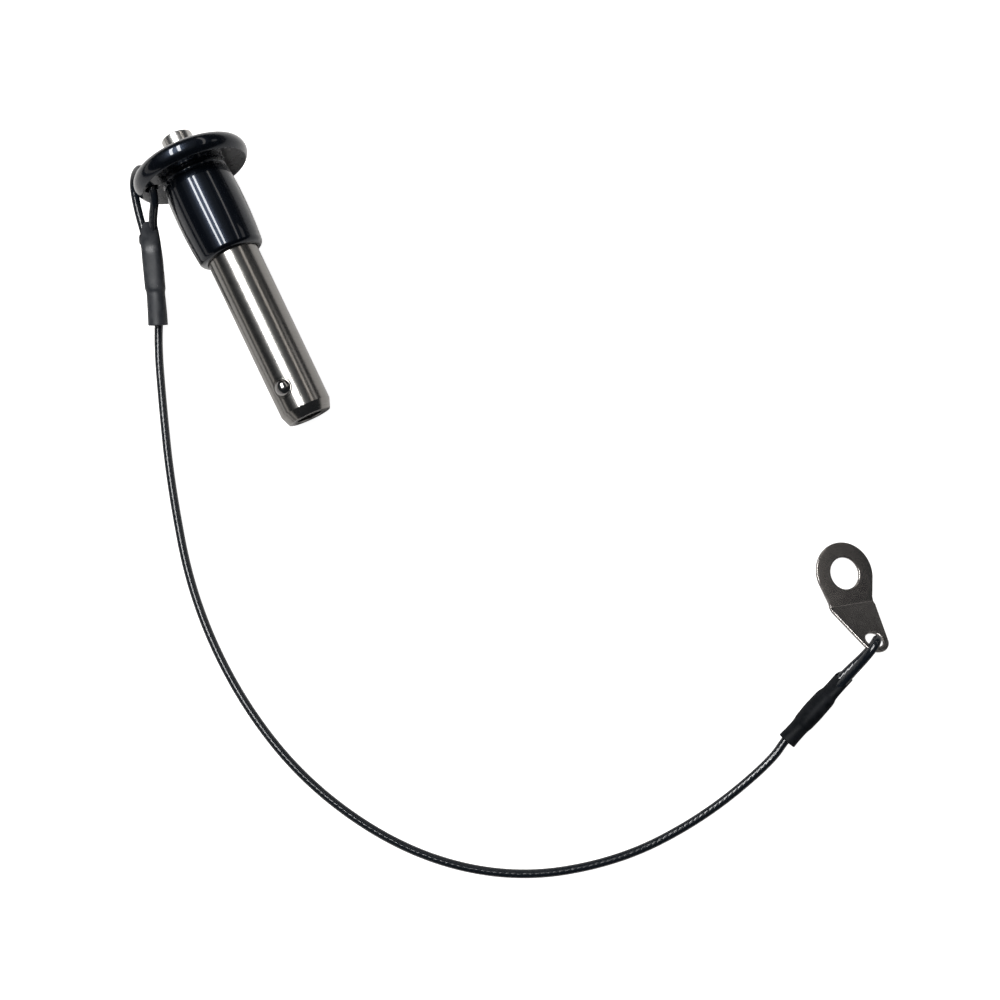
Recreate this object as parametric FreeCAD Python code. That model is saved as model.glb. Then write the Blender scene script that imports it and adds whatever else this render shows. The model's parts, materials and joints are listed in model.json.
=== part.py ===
import FreeCAD, Part
import math
import os

# Quick release ball-lock pin with its coated wire lanyard and bent fixing tab.
# All sizes are in millimetres. The pin lies as it comes to rest: on the rim of
# its flange and on its lower ball. +X runs from the handle to the nose, +Z is
# up, and the origin is on the table below the middle of the pin.
# Distances called t run along the pin's axis from the underside of the flange,
# towards the nose. Angles around the axis start at the top and turn to -Y.

V = FreeCAD.Vector

# Shank
SHANK_D = 12.7
SHANK_END_T = 64.58
NOSE_CHAMFER_LEN = 2.43
NOSE_FACE_D = 10.64
NOSE_BORE_D = 6.5
NOSE_BORE_CHAMFER = 0.2
NOSE_LEAD = 0.05
SPIGOT_D = 12.0

# Locking balls
BALL_D = 4.36
BALL_T = 56.36
BALL_ANGLE = 25.0
BALL_RUNNING_GAP = 0.03
BALL_LAND_GAP = 0.02
BALL_NECK_GAP = 0.04
BALL_UNDERFLUSH = 0.05
GRIP_BALL_GAP = 0.58

# Spindle
LAND_CLEARANCE = 0.05
ROD_D = 4.0
ROD_CLEARANCE = 0.05
COLLAR_LEN = 3.0
COLLAR_CONE_LEN = 0.6
COLLAR_BALL_GAP = 0.45
STOP_GAP = 0.05
LAND_LEN = 2.8
LAND_CHAMFER = 0.3

# Button and spring
BUTTON_D = 7.6
BUTTON_HEIGHT = 5.95
BUTTON_TRAVEL = 4.6
BUTTON_CLEARANCE = 0.06
BUTTON_EDGE_R = 0.5
BUTTON_FOOT_T = 1.0
BUTTON_STEM_D = 5.0
SOCKET_DEPTH = 9.0
SPRING_WIRE_D = 0.8
SPRING_HALF_TURNS = 11
SPRING_SIDE_GAP = 0.3
SPRING_END_GAP = 0.02

# Handle
FLANGE_T = 4.75
RIM_ARC_R = 2.62
RIM_ARC_CENTRE_R = 11.78
RIM_ARC_CENTRE_T = -2.13
HUB_LEN = 21.4
HUB_NECK_D = 15.8
HUB_NECK_FILLET = 0.35
HUB_TOP_R = 8.39
HUB_WAIST_R = 8.63
HUB_FOOT_R = 8.13
HUB_TOP_T = 2.2
HUB_SHOULDER_DROP = 0.12
HUB_WAIST_T = 9.5
HUB_FOOT_ROUND = 1.43
SEAT_T = 13.5
LANYARD_HOLE_D = 3.2
LANYARD_HOLE_INSET = 0.83
LANYARD_HOLE_ANGLE = 67.0
LANYARD_HOLE_CHAMFER = 0.25

# Coated cable
CABLE_D = 2.0
STRAND_GAP = 0.1
RUN_SHARE = 0.45
END_INSET = 0.4
END_KINK = 0.05

# Crimped ferrules and the shrink sleeves over them
FERRULE_LEN = 9.0
FERRULE_WALL = 0.32
FERRULE_HALF_H = 1.7
FERRULE_LEAD = 0.6
FERRULE_EDGE = 0.15
SLEEVE_SKIN = 0.25
SLEEVE_WALL = 0.42
SLEEVE_FOOT_HALF_H = 2.3
SLEEVE_FLOOR_GAP = 0.05
SLEEVE_STEP = 0.8
SLEEVE_CLING = 0.1
MOUTH_SHARE = 0.25
MOUTH_SHRINK = 0.2
BODY_SHRINK_W = 0.15
BODY_SHRINK_H = 0.35
INSIDE_BACK = 0.3

# Sleeve at the handle: where its axis starts and ends
HANDLE_SLEEVE_FOOT = (-1.3, -24.5)
HANDLE_SLEEVE_HEAD = (-21.4, -15.65, 9.8)
HANDLE_SLEEVE_LEN = 22.9
HANDLE_FERRULE_START = 9.0
HANDLE_FOOT_HALF_W = 2.45

# Sleeve at the tab
TAB_SLEEVE_FOOT = (156.09, 68.61)
TAB_SLEEVE_HEAD = (148.35, 86.85, 6.2)
TAB_SLEEVE_LEN = 20.3
TAB_FERRULE_START = 5.6
TAB_STRAND_TWIST = 65.0
TAB_FOOT_HALF_W = 2.35

# Fixing tab
TAB_THICK = 0.8
TAB_HEAD_R = 7.58
TAB_END_R = 3.46
TAB_PITCH = 18.3
TAB_BEND_AT = 7.6
TAB_BEND_ANGLE = 33.0
TAB_BEND_R = 0.6
TAB_BEND_FLAT = 1.0
TAB_BOLT_HOLE_D = 7.7
TAB_CABLE_HOLE_D = 4.2
TAB_SMALL_HOLE_AT = (143.36, 96.61)
TAB_HEADING = -16.1
TAB_RISE = 1.9
TAB_ROLL = -15.9
STOCK = 60.0

# Derived sizes of the pin
SHANK_R = SHANK_D / 2
SPIGOT_R = SPIGOT_D / 2
NOSE_FACE_R = NOSE_FACE_D / 2
LEAD_R = SHANK_R - NOSE_LEAD
CHAMFER_T = SHANK_END_T - NOSE_CHAMFER_LEN
BORE_R = NOSE_BORE_D / 2
LAND_R = BORE_R - LAND_CLEARANCE
BALL_R = BALL_D / 2
ROD_R = ROD_D / 2
GUIDE_R = ROD_R + ROD_CLEARANCE
BUTTON_R = BUTTON_D / 2
COUNTERBORE_R = BUTTON_R + BUTTON_CLEARANCE
BALL_SEAT_R = BALL_R + BALL_RUNNING_GAP
GRIP_END_T = BALL_T - BALL_R - GRIP_BALL_GAP
LANYARD_HOLE_PCR = RIM_ARC_CENTRE_R - LANYARD_HOLE_INSET
BALL_REST_R = LAND_R + BALL_R + BALL_LAND_GAP
BALL_DROP = BALL_REST_R + BALL_R - SHANK_R + BALL_UNDERFLUSH
RAMP_SLOPE = BALL_DROP / BUTTON_TRAVEL
RAMP_ANGLE = math.atan(RAMP_SLOPE)
RAMP_END_T = BALL_T + BALL_R * math.tan(RAMP_ANGLE / 2)
NECK_R = BALL_REST_R - BALL_DROP - BALL_R - BALL_NECK_GAP
RAMP_START_T = RAMP_END_T - (LAND_R - NECK_R) / RAMP_SLOPE
COLLAR_END_T = BALL_T - BALL_R - BUTTON_TRAVEL - COLLAR_BALL_GAP
COLLAR_START_T = COLLAR_END_T - COLLAR_LEN
BORE_STEP_T = COLLAR_START_T - STOP_GAP
SPINDLE_END_T = RAMP_END_T + LAND_LEN
BUTTON_TOP_T = -FLANGE_T - BUTTON_HEIGHT
BUTTON_STEM_END_T = SEAT_T - BUTTON_TRAVEL - STOP_GAP
SOCKET_END_T = BUTTON_STEM_END_T - SOCKET_DEPTH
SPRING_MEAN_R = BUTTON_STEM_D / 2 + SPRING_SIDE_GAP + SPRING_WIRE_D / 2
CABLE_R = CABLE_D / 2
STRAND_OFFSET = CABLE_R + STRAND_GAP / 2
FERRULE_HALF_W = STRAND_OFFSET + CABLE_R + FERRULE_WALL


def rest_tilt(t, down, radius):
    """Tilt at which the flange's rim and a rounding this far down the nose both touch the table."""
    reach = t - RIM_ARC_CENTRE_T
    drop = RIM_ARC_CENTRE_R - down
    return math.asin((RIM_ARC_R - radius) / math.hypot(reach, drop)) + math.atan2(drop, reach)


# The pin rests on the rim and on what comes down first: the lower ball or the nose's edge
BALL_DOWN = BALL_REST_R * math.cos(math.radians(BALL_ANGLE))
TILT = min(rest_tilt(BALL_T, BALL_DOWN, BALL_R), rest_tilt(CHAMFER_T, LEAD_R, 0))
AXIS = V(math.cos(TILT), 0, -math.sin(TILT))
UP = V(math.sin(TILT), 0, math.cos(TILT))
SIDE = V(0, -1, 0)
BACK_X = BUTTON_TOP_T * math.cos(TILT) - BUTTON_R * math.sin(TILT)
FRONT_X = SHANK_END_T * math.cos(TILT) + NOSE_FACE_R * math.sin(TILT)
FLANGE_CENTRE = V(
    -(BACK_X + FRONT_X) / 2,
    0,
    RIM_ARC_CENTRE_T * math.sin(TILT) + RIM_ARC_CENTRE_R * math.cos(TILT) + RIM_ARC_R,
)
PIN_PLACE = FreeCAD.Placement(FLANGE_CENTRE, FreeCAD.Rotation(UP, SIDE, AXIS, "ZXY"))


def pin_point(t, angle, radius):
    """Point in the row's frame at a distance, angle and radius about the pin's axis."""
    a = math.radians(angle)
    return PIN_PLACE.multVec(V(radius * math.cos(a), radius * math.sin(a), t))


def place_on_pin(shape):
    """Turn a shape made along its own Z axis into the pin's resting pose."""
    return placed(shape, PIN_PLACE)


def placed(shape, placement):
    """Copy of a shape moved by a placement, with the move baked in."""
    copy = shape.copy()
    copy.Placement = placement.multiply(copy.Placement)
    return copy


def section(t, radius):
    """Point of a turned profile, in the XZ plane of the pin's own frame."""
    return V(radius, 0, t)


def line(a, b):
    """Straight edge between two points."""
    return Part.LineSegment(a, b).toShape()


def arc(a, mid, b):
    """Circular edge through three points."""
    return Part.Arc(a, mid, b).toShape()


def turned(edges):
    """Solid of revolution about the Z axis from a closed half profile."""
    return Part.Face(Part.Wire(edges)).revolve(V(0, 0, 0), V(0, 0, 1), 360)


def turned_polygon(points):
    """Solid of revolution from straight profile lines given as (t, radius) pairs."""
    corners = [section(t, r) for t, r in points]
    edges = [line(a, b) for a, b in zip(corners, corners[1:] + corners[:1])]
    return turned(edges)


def ball_hole(angle):
    """Round passage for a ball, closed to a lip at the shank's surface by its domed end."""
    r = BALL_SEAT_R
    turn = r * math.sqrt(0.5)
    inner = 0.5 * BORE_R
    edges = [
        line(V(0, 0, inner), V(r, 0, inner)),
        line(V(r, 0, inner), V(r, 0, BALL_REST_R)),
        arc(V(r, 0, BALL_REST_R), V(turn, 0, BALL_REST_R + turn), V(0, 0, BALL_REST_R + r)),
        line(V(0, 0, BALL_REST_R + r), V(0, 0, inner)),
    ]
    a = math.radians(angle)
    out = V(math.cos(a), math.sin(a), 0)
    turn_out = FreeCAD.Rotation(V(0, 0, 1), out)
    return placed(turned(edges), FreeCAD.Placement(V(0, 0, BALL_T), turn_out))


def ball_centre(angle):
    """Centre of a ball in its locked place."""
    a = math.radians(angle)
    return V(BALL_REST_R * math.cos(a), BALL_REST_R * math.sin(a), BALL_T)


def make_handle():
    """Black flange and hub in one piece, bored for button, spring and shank."""
    rim_edge_r = RIM_ARC_CENTRE_R + math.sqrt(RIM_ARC_R ** 2 - RIM_ARC_CENTRE_T ** 2)
    rim_mid = section(RIM_ARC_CENTRE_T, RIM_ARC_CENTRE_R + RIM_ARC_R)
    rim_top = section(-FLANGE_T, RIM_ARC_CENTRE_R)
    rim_foot = section(0, rim_edge_r)
    neck_r = HUB_NECK_D / 2
    fillet = HUB_NECK_FILLET
    neck_top = section(0, neck_r + fillet)
    neck_foot = section(fillet, neck_r)
    bend = fillet * (1 - math.sqrt(0.5))
    neck_end = section(2 * fillet, neck_r)
    hub_top = section(HUB_TOP_T, HUB_TOP_R)
    shoulder = section(HUB_TOP_T / 2, HUB_TOP_R - HUB_SHOULDER_DROP)
    foot_t = HUB_LEN - HUB_FOOT_ROUND
    foot = section(foot_t, HUB_FOOT_R)
    foot_end = section(HUB_LEN, HUB_FOOT_R - HUB_FOOT_ROUND)
    turn = HUB_FOOT_ROUND * math.sqrt(0.5)
    foot_mid = section(foot_t + turn, HUB_FOOT_R - HUB_FOOT_ROUND + turn)
    edges = [
        line(section(-FLANGE_T, COUNTERBORE_R), rim_top),
        arc(rim_top, rim_mid, rim_foot),
        line(rim_foot, neck_top),
        arc(neck_top, section(bend, neck_r + bend), neck_foot),
        line(neck_foot, neck_end),
        arc(neck_end, shoulder, hub_top),
        arc(hub_top, section(HUB_WAIST_T, HUB_WAIST_R), foot),
        arc(foot, foot_mid, foot_end),
        line(foot_end, section(HUB_LEN, SPIGOT_R)),
        line(section(HUB_LEN, SPIGOT_R), section(SEAT_T, SPIGOT_R)),
        line(section(SEAT_T, SPIGOT_R), section(SEAT_T, COUNTERBORE_R)),
        line(section(SEAT_T, COUNTERBORE_R), section(-FLANGE_T, COUNTERBORE_R)),
    ]
    body = turned(edges)
    a = math.radians(LANYARD_HOLE_ANGLE)
    at = V(LANYARD_HOLE_PCR * math.cos(a), LANYARD_HOLE_PCR * math.sin(a), 0)
    hole_r = LANYARD_HOLE_D / 2
    wide = hole_r + LANYARD_HOLE_CHAMFER
    c = LANYARD_HOLE_CHAMFER
    hole = Part.makeCylinder(hole_r, FLANGE_T + 2 * c, at - V(0, 0, FLANGE_T + c))
    top = Part.makeCone(wide + c, hole_r, 2 * c, at - V(0, 0, FLANGE_T + c))
    foot_cone = Part.makeCone(hole_r, wide + c, 2 * c, at - V(0, 0, c))
    return body.cut(hole).cut(top).cut(foot_cone)


def make_shank():
    """Shank with its spigot, the grip, the staked ball holes in a slight lead, and the nose.

    The lead keeps the metal that staking raises round the balls under the grip's size.
    """
    mouth = BORE_R + NOSE_BORE_CHAMFER
    body = turned_polygon([
        (SEAT_T, GUIDE_R),
        (SEAT_T, SPIGOT_R),
        (HUB_LEN, SPIGOT_R),
        (HUB_LEN, SHANK_R),
        (GRIP_END_T, SHANK_R),
        (CHAMFER_T, LEAD_R),
        (SHANK_END_T, NOSE_FACE_R),
        (SHANK_END_T, mouth),
        (SHANK_END_T - NOSE_BORE_CHAMFER, BORE_R),
        (BORE_STEP_T, BORE_R),
        (BORE_STEP_T, GUIDE_R),
    ])
    for angle in (BALL_ANGLE, BALL_ANGLE + 180):
        body = body.cut(ball_hole(angle))
    return body


def make_spindle():
    """Rod, stop collar, neck, ramp and land that hold the balls out or let them in."""
    return turned_polygon([
        (SOCKET_END_T, 0),
        (SOCKET_END_T, ROD_R),
        (COLLAR_START_T, ROD_R),
        (COLLAR_START_T, LAND_R),
        (COLLAR_END_T, LAND_R),
        (COLLAR_END_T + COLLAR_CONE_LEN, NECK_R),
        (RAMP_START_T, NECK_R),
        (RAMP_END_T, LAND_R),
        (SPINDLE_END_T - LAND_CHAMFER, LAND_R),
        (SPINDLE_END_T, LAND_R - LAND_CHAMFER),
        (SPINDLE_END_T, 0),
    ])


def make_button():
    """Push button with a stem inside the spring that takes the spindle's rod."""
    r = BUTTON_EDGE_R
    turn = r * math.sqrt(0.5)
    top = BUTTON_TOP_T
    stem_r = BUTTON_STEM_D / 2
    shoulder = section(top + r, BUTTON_R)
    edges = [
        line(section(top, 0), section(top, BUTTON_R - r)),
        arc(section(top, BUTTON_R - r), section(top + r - turn, BUTTON_R - r + turn), shoulder),
        line(shoulder, section(BUTTON_FOOT_T, BUTTON_R)),
        line(section(BUTTON_FOOT_T, BUTTON_R), section(BUTTON_FOOT_T, stem_r)),
        line(section(BUTTON_FOOT_T, stem_r), section(BUTTON_STEM_END_T, stem_r)),
        line(section(BUTTON_STEM_END_T, stem_r), section(BUTTON_STEM_END_T, ROD_R)),
        line(section(BUTTON_STEM_END_T, ROD_R), section(SOCKET_END_T, ROD_R)),
        line(section(SOCKET_END_T, ROD_R), section(SOCKET_END_T, 0)),
        line(section(SOCKET_END_T, 0), section(top, 0)),
    ]
    return turned(edges)


def make_spring():
    """Compression spring round the button's stem, between the button's foot and the shank."""
    low = BUTTON_FOOT_T + SPRING_END_GAP + SPRING_WIRE_D / 2
    high = SEAT_T - SPRING_END_GAP - SPRING_WIRE_D / 2
    rise = (high - low) / SPRING_HALF_TURNS
    middle_r = math.hypot(SPRING_MEAN_R, rise / 2)
    turns = []
    for i in range(SPRING_HALF_TURNS):
        side = 1 - 2 * (i % 2)
        base = low + i * rise
        here = V(side * SPRING_MEAN_R, 0, base)
        there = V(-side * SPRING_MEAN_R, 0, base + rise)
        turns.append(arc(here, V(0, side * middle_r, base + rise / 2), there))
    ring = Part.makeCircle(SPRING_WIRE_D / 2, V(SPRING_MEAN_R, 0, low), V(0, 1, 0))
    return Part.Wire(turns).makePipeShell([Part.Wire([ring])], True, False)


def tube(points, radius):
    """Round tube along straight runs joined by tangent arcs.

    Returns the solid, the radius of every bend and the length of its centreline.
    """
    edges = []
    radii = []
    here = points[0]
    for before, at, after in zip(points, points[1:], points[2:]):
        back = before - at
        ahead = after - at
        trim = RUN_SHARE * min(back.Length, ahead.Length)
        back.normalize()
        ahead.normalize()
        half_turn = (math.pi - back.getAngle(ahead)) / 2
        bend = trim / math.tan(half_turn)
        middle = back + ahead
        middle.normalize()
        into = at + back * trim
        out = at + ahead * trim
        edges.append(line(here, into))
        edges.append(arc(into, at + middle * (bend / math.cos(half_turn) - bend), out))
        radii.append(bend)
        here = out
    edges.append(line(here, points[-1]))
    path = Part.Wire(edges)
    ring = Part.makeCircle(radius, points[0], points[1] - points[0])
    return path.makePipeShell([Part.Wire([ring])], True, False), radii, path.Length


class SleeveFrame:
    """Axis of a sleeve: along it, across it from strand to strand, and out of both."""

    def __init__(self, foot, head, twist, flip):
        self.foot = V(foot[0], foot[1], SLEEVE_FOOT_HALF_H + SLEEVE_FLOOR_GAP)
        self.along = V(*head) - self.foot
        self.along.normalize()
        level = self.along.cross(V(0, 0, 1)) * flip
        level.normalize()
        high = self.along.cross(level)
        if high.z < 0:
            high = high * -1
        a = math.radians(twist)
        self.across = level * math.cos(a) + high * math.sin(a)
        self.out = high * math.cos(a) - level * math.sin(a)

    def point(self, s, lateral=0.0):
        """Point at a distance along the axis and to one side of it."""
        return self.foot + self.along * s + self.across * lateral

    def oval(self, s, half_w, half_h):
        """Elliptical wire across the axis."""
        centre = self.point(s)
        wide = self.across
        tall = self.out
        if half_h > half_w:
            wide, tall = tall, wide
            half_w, half_h = half_h, half_w
        curve = Part.Ellipse(centre + wide * half_w, centre + tall * half_h, centre)
        return Part.Wire([curve.toShape()])

    def loft(self, stations):
        """Solid through ovals given as (s, half width, half height)."""
        return Part.makeLoft([self.oval(*st) for st in stations], True, True)


def make_tab_flat(width_line):
    """Outline of the tab's blank as a closed wire, head at the origin, end along +X."""
    flat = TAB_BEND_FLAT
    before = TAB_BEND_AT - flat
    after = TAB_BEND_AT + flat
    reach = math.hypot(before, width_line)
    a = math.atan2(width_line, before) + math.acos(TAB_HEAD_R / reach)
    head = V(TAB_HEAD_R * math.cos(a), TAB_HEAD_R * math.sin(a), 0)
    span = TAB_PITCH - after
    reach = math.hypot(span, width_line)
    b = math.atan2(width_line, -span) - math.acos(TAB_END_R / reach)
    end = V(TAB_PITCH + TAB_END_R * math.cos(b), TAB_END_R * math.sin(b), 0)
    up_a = V(before, width_line, 0)
    up_b = V(after, width_line, 0)
    down_a = V(before, -width_line, 0)
    down_b = V(after, -width_line, 0)
    head_low = V(head.x, -head.y, 0)
    end_low = V(end.x, -end.y, 0)
    return Part.Wire([
        arc(head, V(-TAB_HEAD_R, 0, 0), head_low),
        line(head_low, down_a),
        line(down_a, down_b),
        line(down_b, end_low),
        arc(end_low, V(TAB_PITCH + TAB_END_R, 0, 0), end),
        line(end, up_b),
        line(up_b, up_a),
        line(up_a, head),
    ])


def make_tab():
    """Bent tab in its own frame: face at z=0, small hole end folded up.

    Returns the solid, and the placement of its leg about the fold.
    """
    sine = (TAB_HEAD_R - TAB_END_R) / TAB_PITCH
    slope = math.tan(math.asin(sine))
    width_line = TAB_HEAD_R / math.cos(math.asin(sine)) - slope * TAB_BEND_AT
    outline = Part.Face(make_tab_flat(width_line))
    blank = outline.extrude(V(0, 0, STOCK))
    blank.translate(V(0, 0, -STOCK / 2))
    fold = FreeCAD.Placement(
        V(0, 0, 0), FreeCAD.Rotation(V(0, 1, 0), -TAB_BEND_ANGLE), V(TAB_BEND_AT, 0, 0)
    )
    half = math.radians(TAB_BEND_ANGLE / 2)
    set_back = TAB_BEND_R * math.tan(half)
    turn = math.radians(TAB_BEND_ANGLE)
    centre = V(TAB_BEND_AT - set_back, 0, TAB_BEND_R)

    def fold_point(radius, angle):
        """Point on the bend, seen from the side, at an angle from straight down."""
        return centre + V(radius * math.sin(angle), 0, -radius * math.cos(angle))

    outer = TAB_BEND_R + TAB_THICK
    near = V(-STOCK, 0, 0)
    near_low = V(-STOCK, 0, -TAB_THICK)
    far = fold.multVec(V(STOCK, 0, 0))
    far_low = fold.multVec(V(STOCK, 0, -TAB_THICK))
    profile = Part.Wire([
        line(near, fold_point(TAB_BEND_R, 0)),
        arc(fold_point(TAB_BEND_R, 0), fold_point(TAB_BEND_R, turn / 2), fold_point(TAB_BEND_R, turn)),
        line(fold_point(TAB_BEND_R, turn), far),
        line(far, far_low),
        line(far_low, fold_point(outer, turn)),
        arc(fold_point(outer, turn), fold_point(outer, turn / 2), fold_point(outer, 0)),
        line(fold_point(outer, 0), near_low),
        line(near_low, near),
    ])
    sheet = Part.Face(profile).extrude(V(0, STOCK, 0))
    sheet.translate(V(0, -STOCK / 2, 0))
    cut_box = Part.makeBox(STOCK, STOCK, STOCK, V(0, -STOCK / 2, -STOCK / 2))
    beyond = placed(cut_box, FreeCAD.Placement(
        V(TAB_BEND_AT, 0, 0), FreeCAD.Rotation(V(0, 1, 0), -TAB_BEND_ANGLE / 2)
    ))
    head = sheet.common(blank).cut(beyond)
    leg = sheet.common(placed(blank, fold)).common(beyond)
    body = head.fuse(leg).removeSplitter()
    deep = 4 * TAB_THICK
    bolt = Part.makeCylinder(TAB_BOLT_HOLE_D / 2, deep, V(0, 0, -deep / 2))
    eye = placed(Part.makeCylinder(TAB_CABLE_HOLE_D / 2, deep, V(TAB_PITCH, 0, -deep / 2)), fold)
    return body.cut(bolt).cut(eye), fold


def place_tab(flat_tab, fold):
    """Placement that rests the tab on the table with its small hole in the lanyard's loop."""
    turn = (
        FreeCAD.Rotation(V(0, 0, 1), TAB_HEADING)
        .multiply(FreeCAD.Rotation(V(0, 1, 0), -TAB_RISE))
        .multiply(FreeCAD.Rotation(V(1, 0, 0), TAB_ROLL))
    )
    eye = turn.multVec(fold.multVec(V(TAB_PITCH, 0, 0)))
    lowest = placed(flat_tab, FreeCAD.Placement(V(0, 0, 0), turn)).optimalBoundingBox().ZMin
    x, y = TAB_SMALL_HOLE_AT
    return FreeCAD.Placement(V(x - eye.x, y - eye.y, -lowest), turn)


def cable_route(at_handle, at_tab, leg):
    """Points of the cable's runs, from one cut end to the other."""
    side = STRAND_OFFSET
    table = CABLE_R
    over = CABLE_R + 0.55
    handle_top = FERRULE_LEN + HANDLE_FERRULE_START
    tab_top = FERRULE_LEN + TAB_FERRULE_START
    near = [
        at_handle.point(HANDLE_FERRULE_START + END_INSET, side),
        at_handle.point(HANDLE_FERRULE_START + 5.6, side + END_KINK),
        at_handle.point(handle_top + 2.6, side),
        pin_point(0.1, 102, RIM_ARC_CENTRE_R + RIM_ARC_R + 2.2),
        pin_point(-FLANGE_T - over - 0.2, 97.5, RIM_ARC_CENTRE_R + 2.35),
        pin_point(-FLANGE_T - over, LANYARD_HOLE_ANGLE - 1.6, LANYARD_HOLE_PCR - 0.15),
        pin_point(1.7, LANYARD_HOLE_ANGLE - 0.6, LANYARD_HOLE_PCR),
        V(-21.65, -13.9, 12.8),
        at_handle.point(handle_top + 3.2, -side),
        at_handle.point(HANDLE_FERRULE_START + 4.4, -side - END_KINK),
        at_handle.point(HANDLE_FERRULE_START - 3.6, -side),
    ]
    lying = [
        (1.8, -26.4),
        (16.8, -31.6),
        (36.5, -37.9),
        (63.8, -44.2),
        (91.4, -43.8),
        (117.2, -37.1),
        (140.9, -22.5),
        (156.6, -2.8),
        (163.6, 20.5),
        (163.5, 42.3),
        (159.1, 62.9),
    ]
    far = [
        at_tab.point(TAB_FERRULE_START - 4.1, -side),
        at_tab.point(tab_top + 4.0, -side),
        leg.multVec(V(TAB_PITCH + 0.88, -0.32, -2.6)),
        leg.multVec(V(TAB_PITCH + 0.88, -0.32, 2.4)),
        leg.multVec(V(TAB_PITCH + 4.1, -3.5, 2.4)),
        at_tab.point(tab_top + 4.0, side),
        at_tab.point(TAB_FERRULE_START + 6.4, side + END_KINK),
        at_tab.point(TAB_FERRULE_START + END_INSET, side),
    ]
    return near + [V(x, y, table) for x, y in lying] + far


def make_ferrule(frame, start, cable):
    """Crimped oval ferrule that grips both strands."""
    wide = FERRULE_HALF_W
    tall = FERRULE_HALF_H
    end = start + FERRULE_LEN
    body = frame.loft([
        (start, wide - FERRULE_EDGE, tall - FERRULE_EDGE),
        (start + FERRULE_LEAD, wide, tall),
        (end - FERRULE_LEAD, wide, tall),
        (end, wide - FERRULE_EDGE, tall - FERRULE_EDGE),
    ])
    return body.cut(cable)


def make_sleeve(frame, start, length, foot_w, ferrule_body, cable):
    """Shrink sleeve over a ferrule and the strands on both sides of it."""
    wide = FERRULE_HALF_W + SLEEVE_SKIN
    tall = FERRULE_HALF_H + SLEEVE_SKIN
    end = start + FERRULE_LEN
    foot_h = SLEEVE_FOOT_HALF_H
    mouth = MOUTH_SHARE * start
    mouth_w = foot_w - MOUTH_SHRINK
    mouth_h = foot_h - MOUTH_SHRINK
    body_w = foot_w - BODY_SHRINK_W
    body_h = foot_h - BODY_SHRINK_H
    neck_w = STRAND_OFFSET + CABLE_R + SLEEVE_WALL
    neck_h = CABLE_R + SLEEVE_WALL + SLEEVE_CLING
    wall = SLEEVE_WALL
    skin = frame.loft([
        (0, foot_w, foot_h),
        (mouth, mouth_w, mouth_h),
        (start - SLEEVE_CLING - SLEEVE_STEP, body_w, body_h),
        (start - SLEEVE_CLING, wide, tall),
        (end + SLEEVE_CLING, wide, tall),
        (end + SLEEVE_CLING + SLEEVE_STEP, neck_w, neck_h),
        (length, neck_w + SLEEVE_CLING, neck_h + SLEEVE_CLING),
    ])
    inside = frame.loft([
        (-wall, foot_w - wall, foot_h - wall),
        (mouth, mouth_w - wall, mouth_h - wall),
        (start - SLEEVE_CLING - SLEEVE_STEP - INSIDE_BACK, body_w - wall, body_h - wall),
    ])
    return skin.cut(inside).cut(ferrule_body).cut(cable)


def save(name, shape):
    """Check one piece and write it as a STEP file."""
    solids = shape.Solids
    box = shape.BoundBox
    print(
        "%-22s valid %s solids %d volume %9.2f  z %.3f..%.3f"
        % (name, shape.isValid(), len(solids), shape.Volume, box.ZMin, box.ZMax)
    )
    piece = solids[0] if len(solids) == 1 else shape
    piece.exportStep("parts/%s.step" % name)


def main():
    """Build every piece and write its file."""
    os.makedirs("parts", exist_ok=True)
    save("handle", place_on_pin(make_handle()))
    save("shank", place_on_pin(make_shank()))
    save("spindle", place_on_pin(make_spindle()))
    save("push_button", place_on_pin(make_button()))
    save("return_spring", place_on_pin(make_spring()))
    for name, angle in (("ball_upper", BALL_ANGLE), ("ball_lower", BALL_ANGLE + 180)):
        save(name, place_on_pin(Part.makeSphere(BALL_R, ball_centre(angle))))

    flat_tab, fold = make_tab()
    tab_place = place_tab(flat_tab, fold)
    save("fixing_tab", placed(flat_tab, tab_place))

    at_handle = SleeveFrame(HANDLE_SLEEVE_FOOT, HANDLE_SLEEVE_HEAD, 0.0, -1)
    at_tab = SleeveFrame(TAB_SLEEVE_FOOT, TAB_SLEEVE_HEAD, TAB_STRAND_TWIST, 1)
    leg = tab_place.multiply(fold)
    route = cable_route(at_handle, at_tab, leg)
    cable, radii, length = tube(route, CABLE_R)
    save("lanyard_cable", cable)
    print("bend radii", [round(r, 2) for r in radii])
    ideal = math.pi * CABLE_R ** 2 * length
    print("cable length %.1f, volume %.1f, section x length %.1f" % (length, cable.Volume, ideal))
    for point in route:
        print("route %.3f %.3f %.3f" % (point.x, point.y, point.z))

    for name, frame, start, size, foot_w in (
        ("handle", at_handle, HANDLE_FERRULE_START, HANDLE_SLEEVE_LEN, HANDLE_FOOT_HALF_W),
        ("tab", at_tab, TAB_FERRULE_START, TAB_SLEEVE_LEN, TAB_FOOT_HALF_W),
    ):
        ferrule = make_ferrule(frame, start, cable)
        save(name + "_ferrule", ferrule)
        sleeve = make_sleeve(frame, start, size, foot_w, ferrule, cable)
        save(name + "_shrink_sleeve", sleeve)

    print("tilt %.4f degrees, flange centre" % math.degrees(TILT), FLANGE_CENTRE)
    print("ball drop %.4f, ratio %.5f" % (BALL_DROP, RAMP_SLOPE))


main()
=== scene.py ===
"""Ball-lock quick release pin with its lanyard and fixing tab, on a studio table.

Pieces are measured in millimetres on a Place's axes, lights and camera in metres.
"""

import json
import logging
import math
from dataclasses import dataclass
from enum import Enum
from typing import Any, Optional, Sequence, Union

import bmesh
import bpy
from mathutils import Matrix, Vector, noise


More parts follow.
